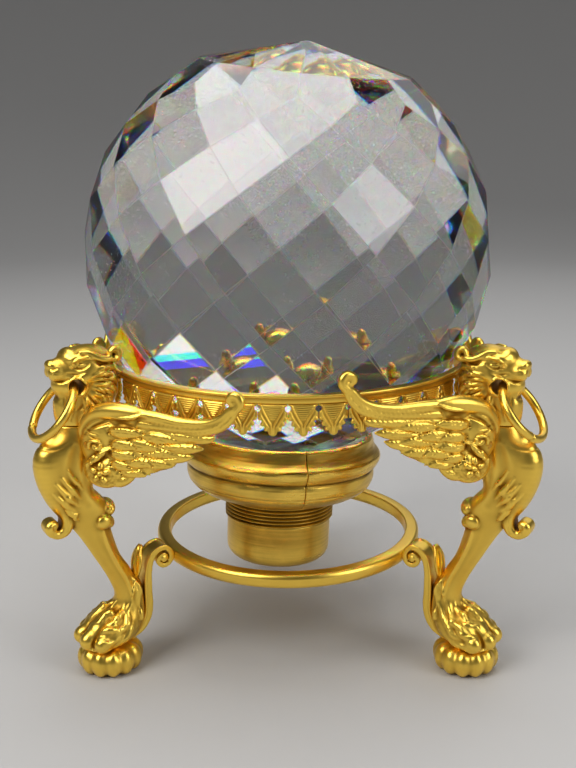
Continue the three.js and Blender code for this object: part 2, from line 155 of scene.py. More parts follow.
def cut_glass(name, roughness):
    """Lead crystal that splits light into colours: one glass each for red, green and blue."""
    material, tree, shader = new_material(name)
    tree.nodes.remove(shader)
    rubbed = ramp(tree, noise(tree, 30, 3, 0.6), [(0.5, 0), (0.68, 1)])
    specks = ramp(tree, noise(tree, 900, 2, 0.7), [(0.58, 0), (0.7, 0.4)])
    scuffs = math_node(tree, "MULTIPLY", rubbed, specks)
    dull = math_node(tree, "ADD", scuffs, roughness)
    total = None
    for colour, bend in (((1, 0, 0), 1.592), ((0, 1, 0), 1.6), ((0, 0, 1), 1.61)):
        glass = tree.nodes.new("ShaderNodeBsdfGlass")
        glass.inputs["Color"].default_value = (*colour, 1)
        glass.inputs["IOR"].default_value = bend
        tree.links.new(dull, glass.inputs["Roughness"])
        if total is None:
            total = glass.outputs[0]
        else:
            both = tree.nodes.new("ShaderNodeAddShader")
            tree.links.new(total, both.inputs[0])
            tree.links.new(glass.outputs[0], both.inputs[1])
            total = both.outputs[0]
    tree.links.new(total, tree.nodes["Material Output"].inputs["Surface"])
    return material


def dry_cement():
    material, tree, shader = new_material("cement")
    grain = noise(tree, 500, 6, 0.65)
    colour = ramp(tree, grain, [(0.3, (0.13, 0.11, 0.08)), (0.7, (0.36, 0.32, 0.24))])
    tree.links.new(colour, shader.inputs["Base Color"])
    shader.inputs["Roughness"].default_value = 0.9
    bumped(tree, shader, grain, 0.0002)
    return material


def make_materials():
    # The second colour of each gilt is the dark brown of its deepest hollows: painted shade mixed with
    # patina.
    return {
        "ormolu": gilt("ormolu", (1.0, 0.67, 0.105), (0.26, 0.11, 0.006), 0.31, 0.52),
        "ormolu_dark": gilt("ormolu_dark", (0.75, 0.47, 0.10), (0.16, 0.08, 0.01), 0.4, 0.62),
        "brass": gilt("brass", (0.98, 0.65, 0.11), (0.11, 0.055, 0.007), 0.26, 0.5, 0.8),
        "crystal": cut_glass("crystal", 0.0),
        "worn_crystal": cut_glass("worn_crystal", 0.25),
        "cement": dry_cement(),
    }


materials = make_materials()


# ---------------------------------------------------------------- sculpting

# Millimetres beyond which a casting's distances are all taken as the same
FAR = 2.5
# Steps in which a line is moved onto a surface
DRAPE_STEPS = 8
# How hollow a level place counts, and how much small and wide hollows add. The hollow value is painted shade:
# an ambient occlusion read from the field, with some patina
LEVEL_HOLLOW, FINE_HOLLOW, BROAD_HOLLOW = 0.33, 2.2, 1.5


def smooth_least(first, second, blend):
    """The smaller of two fields of distance, rounded where they meet."""
    share = np.clip(0.5 + 0.5 * (second - first) / blend, 0, 1)
    return second + (first - second) * share - blend * share * (1 - share)


def smooth_line(points, steps=5):
    """A Catmull-Rom line through rows of numbers, with steps pieces between each two."""
    points = np.array(points, float)
    padded = np.vstack([2 * points[0] - points[1], points, 2 * points[-1] - points[-2]])
    rows = []
    for p0, p1, p2, p3 in zip(padded, padded[1:], padded[2:], padded[3:]):
        for t in np.arange(steps) / steps:
            rows.append(0.5 * (2 * p1 + (p2 - p0) * t + (2 * p0 - 5 * p1 + 4 * p2 - p3) * t ** 2
                               + (3 * p1 - p0 - 3 * p2 + p3) * t ** 3))
    rows.append(points[-1])
    return np.array(rows)


def ellipsoid(centre, radii, lean=0.0, yaw=0.0):
    """An ellipsoid that leans in the side view and is then turned in plan, in degrees."""
    turned = Matrix.Rotation(math.radians(yaw), 3, "Z") @ Matrix.Rotation(math.radians(lean), 3, "Y")
    axes = np.array(turned)
    radii = np.array(radii, float)
    reach = np.sqrt(((axes * radii) ** 2).sum(1))
    centre = np.array(centre, float)

    def distance(x, y, z):
        offset = (x - centre[0], y - centre[1], z - centre[2])
        size = 0
        slope = 0
        for axis in range(3):
            local = sum(axes[i, axis] * offset[i] for i in range(3)) / radii[axis]
            size = size + local ** 2
            slope = slope + (local / radii[axis]) ** 2
        size = np.sqrt(size)
        return size * (size - 1) / np.maximum(np.sqrt(slope), 1e-5)

    return distance, centre - reach, centre + reach


def strand(points, flat=1.0, steps=4):
    """A tapering strand through rows of x, y, z and radius, thinned sideways by flat."""
    line = smooth_line(points, steps)
    line[:, 3] = np.maximum(line[:, 3], 0.02)
    stretch = 1 / flat ** 2 - 1

    def distance(x, y, z):
        nearest = None
        for (ax, ay, az, ar), (bx, by, bz, br) in zip(line, line[1:]):
            dx, dy, dz = bx - ax, by - ay, bz - az
            length = dx * dx + dy * dy + dz * dz + 1e-9
            along = np.clip(((x - ax) * dx + (y - ay) * dy + (z - az) * dz) / length, 0, 1)
            ox, oy, oz = x - ax - along * dx, y - ay - along * dy, z - az - along * dz
            square = ox * ox + oy * oy + oz * oz
            if stretch:
                square = square + stretch * oy ** 2
            here = np.sqrt(square) - (ar + along * (br - ar))
            nearest = here if nearest is None else np.minimum(nearest, here)
        return nearest * (flat if stretch else 1)

    reach = line[:, 3:4]
    return distance, (line[:, :3] - reach).min(0), (line[:, :3] + reach).max(0)


def rod(radius, start, end):
    """A round rod with flat ends."""
    start, end = np.array(start, float), np.array(end, float)
    length = np.linalg.norm(end - start)
    axis = (end - start) / length

    def distance(x, y, z):
        offset = (x - start[0], y - start[1], z - start[2])
        along = sum(axis[i] * offset[i] for i in range(3))
        square = sum((offset[i] - axis[i] * along) ** 2 for i in range(3))
        return np.maximum(np.sqrt(square) - radius, np.abs(along - length / 2) - length / 2)

    low = np.minimum(start, end) - radius
    return distance, low, np.maximum(start, end) + radius


def blurred(field, half):
    """A field averaged over half grid steps to each side, twice along each axis."""
    width = 2 * half + 1
    for axis in (0, 1, 2) * 2:
        lines = np.moveaxis(field, axis, 0)
        padded = np.concatenate([lines[:1]] * (half + 1) + [lines] + [lines[-1:]] * half)
        total = np.cumsum(padded, axis=0, dtype=np.float64)
        field = np.moveaxis((total[width:] - total[:-width]) / width, 0, axis).astype(np.float32)
    return field


class Clay:
    """A casting as a grid of distances to its surface in millimetres, negative inside."""

    def __init__(self, low, high, step):
        self.low = np.array(low, float)
        self.step = step
        counts = np.ceil((np.array(high) - self.low) / step).astype(int) + 1
        self.field = np.full(counts, 9, np.float32)

    def window(self, low, high, margin):
        first = np.floor((np.array(low) - margin - self.low) / self.step).astype(int)
        last = np.ceil((np.array(high) + margin - self.low) / self.step).astype(int) + 1
        first = np.clip(first, 0, self.field.shape)
        last = np.clip(last, first, self.field.shape)
        region = tuple(slice(a, b) for a, b in zip(first, last))
        x, y, z = (self.low[i] + self.step * np.arange(first[i], last[i]) for i in range(3))
        x, y, z = (line.astype(np.float32) for line in (x, y, z))
        return region, x[:, None, None], y[None, :, None], z[None, None, :]

    def add(self, shape, blend=0.5):
        distance, low, high = shape
        region, x, y, z = self.window(low, high, blend + 1)
        if self.field[region].size:
            self.field[region] = smooth_least(self.field[region], distance(x, y, z), blend)

    def cut(self, shape, blend=0.3):
        distance, low, high = shape
        region, x, y, z = self.window(low, high, blend + 1)
        if self.field[region].size:
            self.field[region] = -smooth_least(-self.field[region], distance(x, y, z), blend)

    def trim(self, height, side, blend):
        """Cuts off what lies above a height, where side is 1, or below it, where side is -1."""
        z = (self.low[2] + self.step * np.arange(self.field.shape[2])).astype(np.float32)
        self.field = -smooth_least(-self.field, side * (height - z), blend)

    def sampled(self, field, points):
        """A field read between the grid points."""
        place = (points - self.low) / self.step
        place = np.clip(place, 0, np.array(field.shape) - 1.001)
        corner = place.astype(int)
        part = (place - corner).astype(np.float32)
        total = np.zeros(len(points), np.float32)
        for step in itertools.product((0, 1), repeat=3):
            weight = np.abs(1 - np.array(step, np.float32) - part).prod(1)
            total += weight * field[tuple((corner + step).T)]
        return total

    def slope(self, points):
        rise = [self.sampled(self.field, points + axis) - self.sampled(self.field, points - axis)
                for axis in np.eye(3) * self.step]
        slope = np.stack(rise, 1)
        return slope / np.maximum(np.linalg.norm(slope, axis=1, keepdims=True), 1e-6)

    def draped(self, points, lift=0.0):
        """Rows of x, y, z and radius moved onto the surface, and lift above it."""
        rows = np.array(points, float)
        for _ in range(DRAPE_STEPS):
            height = self.sampled(self.field, rows[:, :3])[:, None]
            rows[:, :3] -= self.slope(rows[:, :3]) * np.clip(height, -1, 1)
        rows[:, :3] += self.slope(rows[:, :3]) * lift
        return rows

    def hair(self, points, lift=0.1, blend=0.25):
        """A lock of hair that lies on the surface as it is now."""
        self.add(strand(self.draped(smooth_line(points, 3), lift), steps=1), blend)

    def groove(self, points, blend=0.2, lift=0.0):
        """A line cut into the surface as it is now."""
        self.cut(strand(self.draped(smooth_line(points, 3), lift), steps=1), blend)

    def surface(self):
        """Its points in millimetres, its faces, and how hollow each point is, which paints shade into the
        creases.
        """
        field = np.clip(self.field, -FAR, FAR)
        grid = openvdb.FloatGrid(background=FAR)
        grid.copyFromArray(field, tolerance=0.0)
        points, quads = grid.convertToQuads(isovalue=0.0)
        points = points * self.step + self.low
        near = np.clip(field, -1, 1)
        # Ambient occlusion from the blurred field: points in creases get a high hollow value, which darkens
        # them as painted shade.
        fine = self.sampled(blurred(near, 2), points)
        broad = self.sampled(blurred(near, 4), points)
        hollow = np.clip(LEVEL_HOLLOW - FINE_HOLLOW * fine - BROAD_HOLLOW * broad, 0, 1)
        return points, quads, hollow

    def mesh(self, name, change=None):
        """The surface as a mesh in metres. change moves its points."""
        points, quads, hollow = self.surface()
        if change is not None:
            points = change(points)
        return mesh_from(name, points * MM, quads, hollow)


class Half:
    """One side of a clay, where y counts outward from the middle. It is worked with strands."""

    def __init__(self, clay, side):
        self.clay = clay
        self.side = side

    def rows(self, points):
        return [(x, y * self.side, z, radius) for x, y, z, radius in points]

    def add(self, points, blend, flat=1.0):
        self.clay.add(strand(self.rows(points), flat), blend)

    def cut(self, points, blend, flat=1.0):
        self.clay.cut(strand(self.rows(points), flat), blend)

    def hair(self, points, lift=0.1, blend=0.25):
        self.clay.hair(self.rows(points), lift, blend)

    def groove(self, points, blend=0.2, lift=0.0):
        self.clay.groove(self.rows(points), blend, lift)

    def ball(self, centre, radii, lean=0, yaw=0):
        """An ellipsoid to add to this side or to cut from it."""
        x, y, z = centre
        return ellipsoid((x, y * self.side, z), radii, lean, yaw * self.side)


def halves(clay):
    return Half(clay, -1), Half(clay, 1)


def level(y, *rows):
    """Rows of x, z and radius, all at one y, as rows of x, y, z and radius."""
    return [(x, y, z, radius) for x, z, radius in rows]


def on_circle(middle, distance, angle):
    return middle[0] + distance * math.cos(angle), middle[1] + distance * math.sin(angle)


def spiral(middle, y, wide, first, turn, count, radius, shrink=0.0, squash=1.0):
    """Rows round a middle x and z, from the angle first on by turn, in degrees, and nearer by shrink."""
    rows = []
    for step in range(count):
        x, z = on_circle((0, 0), wide - shrink * step, math.radians(first + turn * step))
        rows.append((middle[0] + x, y, middle[1] + squash * z, radius))
    return rows


def grid_faces(rows, columns):
    """Faces between the points of a grid that closes on itself both ways."""
    here = np.arange(rows * columns).reshape(rows, columns)
    after = np.roll(here, -1, 0)
    return np.stack([here, after, np.roll(after, -1, 1), np.roll(here, -1, 1)], 2).reshape(-1, 4)


def mesh_from(name, points, faces, hollow=None):
    mesh = bpy.data.meshes.new(name)
    mesh.vertices.add(len(points))
    mesh.vertices.foreach_set("co", np.asarray(points, np.float32).ravel())
    size = faces.shape[1]
    mesh.loops.add(faces.size)
    mesh.loops.foreach_set("vertex_index", faces.astype(np.int32).ravel())
    mesh.polygons.add(len(faces))
    mesh.polygons.foreach_set("loop_start", np.arange(0, faces.size, size, dtype=np.int32))
    mesh.update(calc_edges=True)
    mesh.validate()
    mesh.shade_smooth()
    if hollow is not None:
        mesh.attributes.new("hollow", "FLOAT", "POINT").data.foreach_set("value", hollow.astype(np.float32))
    return mesh


# ---------------------------------------------------------------- leg casting

# The side view from the shoulder seam to the toes: outer point, inner point, half width and
# how square the section is (2 is round, less has a ridge along each side)
LEG_SLICES = [
    (79.4, 83, 65, 83, 5, 2.2), (80.6, 80.2, 65.6, 79.6, 5.3, 2.2), (83.4, 77.8, 66, 77, 5.6, 2.2),
    (86.3, 74.8, 66.8, 73, 5.8, 2.2), (86.9, 70, 68.4, 67.4, 5.7, 2.2), (85.6, 63.6, 69.6, 62, 5.4, 2.2),
    (83, 57.8, 66.6, 58.2, 5.2, 2.1), (79.2, 52.6, 64.2, 54.4, 4.9, 1.9), (75, 46.9, 64.4, 48.8, 4.4, 1.6),
    (69.9, 37.9, 61.6, 38.6, 4.1, 1.4), (65.8, 30.2, 57.8, 31.6, 4.2, 1.45),
    (63.7, 24.6, 56.2, 24.4, 4.7, 1.8), (64.8, 21, 55.6, 18, 5.8, 2), (68.6, 19.8, 56.4, 14.2, 7.4, 2.2),
    (72, 17.2, 59, 10.9, 8.5, 2.3), (74.2, 14, 63.4, 9.2, 8.7, 2.3), (74.6, 11.4, 67, 9, 7.8, 2.2),
]
# Locks at the side of the breast: where each starts, where it ends, and its radius
BREAST_LOCKS = [
    (80.6, 68, 75, 60.4, 1.05), (82.4, 66.2, 75.6, 58.2, 1.15), (83.4, 63, 76.6, 56.2, 1),
    (78.6, 70, 74.4, 63.4, 0.8),
]


def lofted(clay, slices, steps=26, skew=0.0):
    """Fills the clay with a body whose section runs from each inner to each outer point."""
    line = smooth_line(slices, steps).astype(np.float32)
    outer, inner, half, power = line[:, 0:2], line[:, 2:4], line[:, 4], line[:, 5]
    middle = (outer + inner) / 2
    reach = outer - inner
    depth = np.linalg.norm(reach, axis=1) / 2
    reach /= 2 * depth[:, None]
    region, x, y, z = clay.window(clay.low, clay.low + np.array(clay.field.shape) * clay.step, 0)
    side_x, side_z = np.broadcast_arrays(x[:, 0, 0][:, None], z[0, 0, :][None, :])
    best = np.full(side_x.shape, 1e9, np.float32)
    found = np.zeros(side_x.shape, int)
    for row in range(len(line)):
        off_x, off_z = side_x - middle[row, 0], side_z - middle[row, 1]
        along = off_x * reach[row, 0] + off_z * reach[row, 1]
        away = (off_z * reach[row, 0] - off_x * reach[row, 1]) ** 2
        away += np.maximum(np.abs(along) - depth[row], 0) ** 2
        closer = away < best
        best[closer] = away[closer]
        found[closer] = row
    across = (side_x - middle[found, 0]) * reach[found, 0] + (side_z - middle[found, 1]) * reach[found, 1]
    across = across / depth[found]
    across = np.where(across > skew, (across - skew) / (1 - skew), (across - skew) / (1 + skew))
    u = np.abs(across)[:, None, :]
    v = np.abs(y) / half[found][:, None, :]
    p = power[found][:, None, :]
    size = np.maximum((u ** p + v ** p) ** (1 / p), 1e-4)
    rise_u = (u / size) ** (p - 1) / depth[found][:, None, :]
    rise_v = (v / size) ** (p - 1) / half[found][:, None, :]
    body = (size - 1) / np.maximum(np.sqrt(rise_u ** 2 + rise_v ** 2), 1e-3)
    clay.field[region] = np.minimum(clay.field[region], blurred(body.astype(np.float32), 2))


def leg_casting():
    clay = Clay((52, -12, 7.5), (90, 12, 84), 0.33)
    lofted(clay, LEG_SLICES, skew=-0.25)
    shape_chest(clay)
    shape_hock(clay)
    shape_paw(clay)
    clay.trim(83, 1, 0.15)
    clay.trim(9.25, -1, 0.3)
    return clay.mesh("leg_casting")


def shape_chest(clay):
    """The long smooth breast with a ledge on top, locks at its side and an upturned curl below."""
    breast = level(0, (82, 76.6, 2.6), (82.6, 72, 4.6), (82, 66.4, 4.6), (80.2, 60.6, 3.9), (78.4, 55.8, 2.6))
    clay.add(strand(breast), 1.2)
    for half in halves(clay):
        half.cut([(76.2, 6.6, 77, 0.4), (77.2, 7, 73, 1), (77.6, 7.1, 69, 1.2), (75.8, 6.9, 63, 1.1),
                  (73, 6.4, 58, 0.5)], 2)
        half.cut([(72, 6.4, 77, 0.2), (72.6, 6.6, 71, 0.8), (72.6, 6.4, 65, 0.8), (70.6, 6, 60, 0.2)], 1.4)
        for start_x, start_z, end_x, end_z, size in BREAST_LOCKS:
            x, z = (start_x + end_x) / 2 - 0.9, (start_z + end_z) / 2 - 1.3
            half.hair(level(5, (start_x, start_z, 0.3), (x + 1.2, z + 1.4, size), (x, z - 0.2, size),
                            (end_x, end_z, 0.2)), -0.05, 0.5)
            half.groove(level(5, (start_x - 0.4, start_z - 0.6, 0.12), (x + 0.6, z + 0.6, 0.22),
                              (end_x + 0.8, end_z + 0.6, 0.1)), 0.2, 0.1)
        for lift in (0, 1.3, 2.6):
            half.hair(level(4, (79.6 - 0.4 * lift, 57.4 - 0.6 * lift, 0.25),
                            (77.8 - 0.4 * lift, 56.4 - 0.7 * lift, 0.6),
                            (76.4 - 0.3 * lift, 55 - 0.8 * lift, 0.2)), 0.25, 0.2)
    for half in halves(clay):
        ledge = [(86.4, 0.2, 77.4, 0.25), (84.6, 3.6, 77.2, 0.3), (80.6, 5.6, 77.6, 0.2),
                 (77.4, 6, 78.8, 0.1)]
        half.groove(ledge, 0.5, 0.15)
    for shift in (-1.5, 0, 1.5):
        curl = level(shift, (79.2, 56, 1.7), (78.4, 52.8, 1.9), (79.2, 50, 1.8), (81.4, 48.9, 1.5),
                     (83.4, 50, 1.6), (83.8, 51.6, 1.9), (83, 52.2, 1.7))
        clay.add(strand(curl, steps=5), 0.5)
    for half in halves(clay):
        half.cut([(82.8, 3.6, 51.8, 0.9), (81.4, 3.6, 51.6, 0.8), (80.6, 3.7, 52.4, 0.4)], 0.4)
        for shift in (0, 0.9):
            half.groove(level(3.4, (79.4 - shift, 54.6, 0.15), (79 - shift * 0.8, 51.6, 0.25),
                              (80.6, 49.2 - shift * 0.6, 0.2), (82.6, 48.9 - shift * 0.3, 0.1)), 0.25)


def shape_hock(clay):
    """The scrolls at the back of the hock, the ridge down each side of the shin, and the web behind it."""
    clay.add(ellipsoid((65.6, 0, 54.5), (2.9, 4.4, 2.9), 20), 0.4)
    clay.add(ellipsoid((65.3, 0, 49.8), (2.1, 3.9, 2.2), 10), 0.5)
    for half in halves(clay):
        clay.add(half.ball((67.8, 4.4, 51.3), (2.7, 1.6, 2.5), 10), 0.3)
        half.hair([(67.8, 4.6, 48, 0.4), (66.4, 4.6, 42.6, 0.75), (63.2, 4.4, 35, 0.75),
                   (60.8, 4.6, 29.8, 0.7), (59.6, 5, 25, 0.3)], -0.1, 0.5)
        half.cut([(70.4, 5.4, 48.6, 0.5), (69.2, 5.6, 43.6, 1.3), (65.4, 5.5, 35.6, 1.4), (63, 5.6, 29, 1.1),
                  (62, 6, 25.4, 0.3)], 1.2)
        half.groove(spiral((67.8, 51.3), 5.4, 2.9, 150, -32, 10, 0.25, squash=2.7 / 2.9), 0.3)
        half.groove([(66.4, 5, 54, 0.15), (64.9, 3.6, 54.8, 0.35), (65.6, 3.6, 56.2, 0.15)], 0.25)
        shape_web(half)


def shape_web(half):
    """The metal that joins the shin to the strap behind it, with an acanthus leaf and a drop on its side."""
    half.add([(58.6, 0.8, 30, 0.9), (57.4, 0.9, 27.4, 2.1), (56.9, 1, 23, 2.5), (56.9, 1.2, 18, 2.7),
              (57.8, 1.6, 14, 2.7), (59.6, 2, 11.5, 2.4)], 0.8)
    leaf = [(58, 4, 31, 0.3), (57.4, 4, 28.4, 1.1), (57.6, 4, 24.6, 1.3), (58, 4.4, 21.6, 0.8),
            (57.6, 4.6, 19.8, 0.4)]
    half.hair(leaf, 0, 0.3)
    half.groove([(x, y + 1, z, 0.25) for x, y, z, _ in leaf[1:]], 0.3)
    for bow in (-1, 1):
        half.hair(level(5, (57.8 + 0.3 * bow, 29.6, 0.2), (57.5 + 1.7 * bow, 26, 0.6),
                        (57.9 + 1.9 * bow, 23.4, 0.15)), 0.05, 0.25)
    half.hair([(57.5, 4.6, 20, 0.3), (57.2, 4.8, 18.3, 1.05), (57.3, 5, 16.8, 1)], 0.1, 0.2)


# The middle line of the paw from ankle to toes: x, z and how steeply its top faces up, in degrees
PAW_LINE = [(60.4, 26.5, 0), (60.6, 21.5, 8), (61.6, 16.5, 35), (65, 12.8, 62), (70, 11.4, 80),
            (73.6, 10.6, 88)]
TOES = [(73.4, -2.5, 12, 3.1), (73.4, 2.5, 12, 3.1), (70.4, -6.6, 11.8, 3), (70.4, 6.6, 11.8, 3)]
# Rows of fur over the paw: where they begin and finish along it, how many locks, and their radius
PAW_FUR = [(0.52, 0.94, 7, 1.15), (0.3, 0.74, 8, 1.2), (0.1, 0.5, 7, 1.1)]
# Along a lock of that fur: share of its length, share of its radius, and how far it waves
PAW_WAVE = [(0, 0.15, 0), (0.25, 0.9, 1), (0.6, 1, -0.3), (0.85, 0.6, 0.4), (1, 0.12, 1)]


def over_paw(along, around):
    """A point well outside the paw: along it from ankle to toes, and degrees round from its top line."""
    at = along * (len(PAW_LINE) - 1)
    first = min(int(at), len(PAW_LINE) - 2)
    share = at - first
    x, z, tilt = (a + (b - a) * share for a, b in zip(PAW_LINE[first], PAW_LINE[first + 1]))
    up, aside = on_circle((0, 0), 6.5, math.radians(around))
    x, z = on_circle((x, z), up, math.radians(tilt))
    return x, 1.25 * aside, z


def shape_paw(clay):
    """A lion's foot: four toes that droop over the bun, under wavy fur swept forward."""
    for x, y, z, size in TOES:
        splay = math.degrees(math.atan2(y, 12))
        clay.add(ellipsoid((x, y, z), (size * 1.15, size * 0.9, size), 18, splay), 0.6)
        clay.add(ellipsoid((x - 2.6, y * 0.92, z + 3), (3, 2.2, 2.3), 34), 1.2)
    for y in (0, -4.7, 4.7):
        start = (68.6 - abs(y) * 0.35, y * 0.86, 18.4 - abs(y) * 0.2, 0.15)
        middle = (73 - abs(y) * 0.45, y, 15.4 - abs(y) * 0.15, 0.35)
        clay.groove([start, middle, (76.2 - abs(y) * 0.6, y * 1.04, 10.4, 0.35)], 0.6)
    chance = np.random.default_rng(7)
    for row, (begin, finish, lanes, size) in enumerate(PAW_FUR):
        for lane in range(lanes):
            around = -112 + 224 * (lane + 0.25 + 0.5 * (row % 2)) / lanes
            bend = chance.uniform(3, 7) * (1 if (lane + row) % 2 else -1)
            length = finish * chance.uniform(0.92, 1.0) - begin
            lock = []
            for share, radius, wave in PAW_WAVE:
                place = over_paw(begin + length * share, around * (1 - 0.1 * share) + wave * bend)
                lock.append((*place, size * radius))
            clay.hair(lock, -0.5, 0.45)
            for shift in (-0.72, 0.84):
                clay.groove([(x, y + shift, z, 0.13) for x, y, z, _ in lock[1:]], 0.2, 0.05)


# ---------------------------------------------------------------- head

MOUTH = (74.6, 95.3)
# The neck from the seam up, in slices like those of the leg
NECK_SLICES = [
    (79.6, 83.2, 65, 83.2, 5, 2.2), (79.8, 86, 64.4, 86.4, 5.1, 2.2), (78, 90.2, 62.4, 91, 5.6, 2.2),
    (77, 94, 61.4, 95.4, 6.2, 2.2), (75.6, 98, 61.4, 99.4, 6.8, 2.2), (74.4, 101.2, 63, 102.4, 6.4, 2.2),
]
# Mane, skull, crown, brow, face, bridge, muzzle, chin, jaw and throat: x, z, the three radii, lean, blend
HEAD_VOLUMES = [
    (66.6, 94.4, 6.2, 7.3, 9, 0, 1.5), (68.8, 100, 7.8, 7.3, 6.2, 8, 1.5), (71, 103, 6, 5.4, 3.1, 6, 1.5),
    (74.9, 103.3, 3.2, 4.5, 3, 10, 0.9), (75.6, 99.4, 5, 4.6, 4.2, 12, 1.5),
    (78.4, 101.2, 3.2, 2.4, 1.7, 22, 0.6), (78.6, 99.7, 3.3, 3.6, 3.5, 10, 1),
    (78.2, 95.3, 2.3, 3, 2.4, -10, 0.8), (75.4, 95, 4.2, 5.2, 4.6, 0, 1.5),
    (76.6, 88.4, 3.6, 4.2, 5.6, 4, 1.4),
]


def head_casting():
    clay = Clay((58.5, -10.5, 82.4), (84.5, 10.5, 108.5), 0.26)
    lofted(clay, NECK_SLICES)
    clay.trim(101.6, 1, 1.2)
    for x, z, *radii, lean, blend in HEAD_VOLUMES:
        clay.add(ellipsoid((x, 0, z), radii, lean), blend)
    for half in halves(clay):
        shape_face(half)
        shape_ear(half)
        shape_ruff(half)
    clay.add(ellipsoid((80.7, 0, 101.6), (1.5, 2.4, 1.5), -20), 0.7)
    clay.cut(strand(level(0, (82.4, 101.4, 0.25), (81.9, 99.8, 0.35), (81.4, 98, 0.3))), 0.3)
    shape_mouth(clay)
    return clay.mesh("head_casting")


def shape_face(half):
    """The swell of the muzzle, brow and cheek, the eye, nostril and lip, and the lines cut round them."""
    clay = half.clay
    clay.add(half.ball((79.3, 1.9, 99.2), (2.5, 2.1, 2.4), 10), 0.7)
    clay.add(half.ball((74.2, 4, 103.4), (2.6, 1.5, 1.5), 10, -16), 0.5)
    clay.add(half.ball((71.4, 5, 98.2), (3.4, 2.2, 2.4), 24), 1.2)
    half.groove([(71, 6, 101.8, 0.3), (73, 5.6, 101.5, 0.8), (75, 4.8, 101.3, 0.5)], 0.7, 0.2)
    half.hair([(72, 5.6, 101.6, 0.5), (73.6, 5.2, 101.5, 0.6)], 0, 0.2)
    half.groove([(70.6, 6, 101.2, 0.1), (72.4, 6, 100.6, 0.22), (74.4, 5.4, 100.9, 0.15)], 0.2)
    half.hair([(75.6, 4.4, 102.6, 0.15), (73.6, 5.4, 103.6, 0.45), (70.8, 6, 103.9, 0.5),
               (67.8, 7, 102.8, 0.45), (65.2, 7.6, 102.2, 0.15)], 0.15, 0.25)
    curl = spiral((75.3, 101.5), 4.2, 1.05, 200, -50, 9, 0.3, shrink=0.1)
    half.hair([(73.8, 5, 102.6, 0.2), *curl], 0.16, 0.12)
    half.groove([(80.9, 1.2, 100.9, 0.2), (80.2, 2.4, 100.5, 0.42), (79.4, 3, 100.7, 0.15)], 0.2)
    half.groove([(81.5, 0.4, 97.7, 0.3), (80.4, 2.2, 96.9, 0.45), (78.6, 3.6, 96.9, 0.45),
                 (76.6, 4.6, 97.6, 0.3)], 0.3)
    for row in range(3):
        z = 99.6 - row * 0.8
        half.groove([(80.6 - row * 0.2, 2.6, z, 0.08), (79.2, 3.6, z - 0.2, 0.14), (77.8, 4, z, 0.06)], 0.1)
    for shift in (0, 1.3, 2.6):
        half.groove([(78.6 - shift, 4, 92, 0.1), (77.6 - 0.8 * shift, 4.6, 88.6, 0.24),
                     (79 - shift, 4, 85, 0.1)], 0.4)
    half.groove([(77, 4.4, 99.4, 0.12), (74.6, 5.4, 99, 0.28), (72.4, 6.6, 99.6, 0.1)], 0.5)


def shape_ear(half):
    """The ridge that runs back from the brow to a round ear with a hole in it."""
    half.add([(63.6, 6.4, 103.2, 1.3), (65.6, 6.6, 102.9, 1.25), (67.8, 6.2, 103.5, 1.2),
              (70.2, 5.2, 104.9, 1), (72.6, 4.2, 105.2, 0.7)], 0.35)
    half.groove([(64, 8.3, 100.9, 0.35), (66.2, 8.2, 101.2, 0.7), (68.4, 7.4, 102.3, 0.55),
                 (70.4, 6.4, 103.9, 0.2)], 0.35, 0.1)
    half.clay.add(half.ball((62.9, 6.6, 104.3), (2.3, 1.7, 2.5), 12, -14), 0.35)
    half.clay.cut(half.ball((63.4, 8.4, 104.3), (1.15, 1.3, 1.35), 10), 0.25)
    half.clay.cut(rod(0.45, (63.4, 6.2 * half.side, 104.2), (63.4, 9 * half.side, 104.2)), 0.15)


def from_mouth(start, length, angle, bend, curve, steps):
    """Rows of a lock that starts at a distance from the mouth. steps are shares of its length, and radii."""
    rows = []
    for share, radius in steps:
        x, z = on_circle(MOUTH, start + length * share, angle + bend * share ** curve)
        rows.append((x, 6.6, z, radius))
    return rows


def shape_ruff(half):
    """Locks that fan backward and down behind the mouth, the long ones under the short ones."""
    chance = np.random.default_rng(21)
    for near, length, size, count in ((7.6, 7, 1, 7), (5.4, 6.4, 0.95, 8), (3.6, 5.2, 0.8, 8)):
        for lane in range(count):
            share = (lane + 0.5 * (count % 2)) / count
            angle = math.radians(142 + 122 * share + chance.uniform(-3, 3))
            start = near * (1.25 - 0.35 * share)
            reach = length * (1.25 - 0.55 * share) * chance.uniform(0.9, 1.1)
            steps = [(0, 0.15), (0.3, size), (0.65, size * 0.9), (1, 0.1)]
            lock = from_mouth(start, reach, angle, math.radians(20 - 10 * share), 1.6, steps)
            half.hair(lock, -0.3, 0.4)
            half.groove([(x, y, z, 0.14) for x, y, z, _ in lock[1:]], 0.15, 0.05)
    for lane in range(30):
        angle = math.radians(140 + 4.3 * lane + chance.uniform(-2, 2))
        start = chance.uniform(4.4, 8.5) * (1.15 - 0.01 * lane)
        steps = [(0, 0.06), (0.5, 0.19), (1, 0.06)]
        half.groove(from_mouth(start, 4.6 - 0.06 * lane, angle, math.radians(12), 1, steps), 0.15)


def shape_mouth(clay):
    """The hole that the ring passes through, with a raised rim on each side."""
    x, z = MOUTH
    clay.cut(rod(2.3, (x, -12, z), (x, 12, z)), 0.5)
    for half in halves(clay):
        half.cut([(x + 0.4, 5.6, z, 1.9), (x + 2.2, 6.2, z + 0.6, 1)], 0.5)
        rim = []
        for angle in np.linspace(0, math.tau, 13):
            reach = 2.95 + 0.5 * max(0, math.cos(angle))
            rim.append((x + reach * math.cos(angle), 6.4, z + 2.95 * math.sin(angle), 0.34))
        half.hair(rim, 0.12, 0.2)
    clay.cut(rod(2.2, (x, -12, z), (x, 12, z)), 0.3)
    clay.cut(ellipsoid((81.4, 0, 91.7), (2.4, 5, 1.1)), 0.7)
    for shift in (-1.2, 0, 1.2):
        clay.groove(level(shift, (79.9, 94.4, 0.1), (79.9, 93, 0.25), (79, 91.9, 0.1)), 0.2)
    clay.trim(83.25, -1, 0.15)


# ---------------------------------------------------------------- wings

WING_TURN = math.radians(38)
WING_DISTANCE = 63

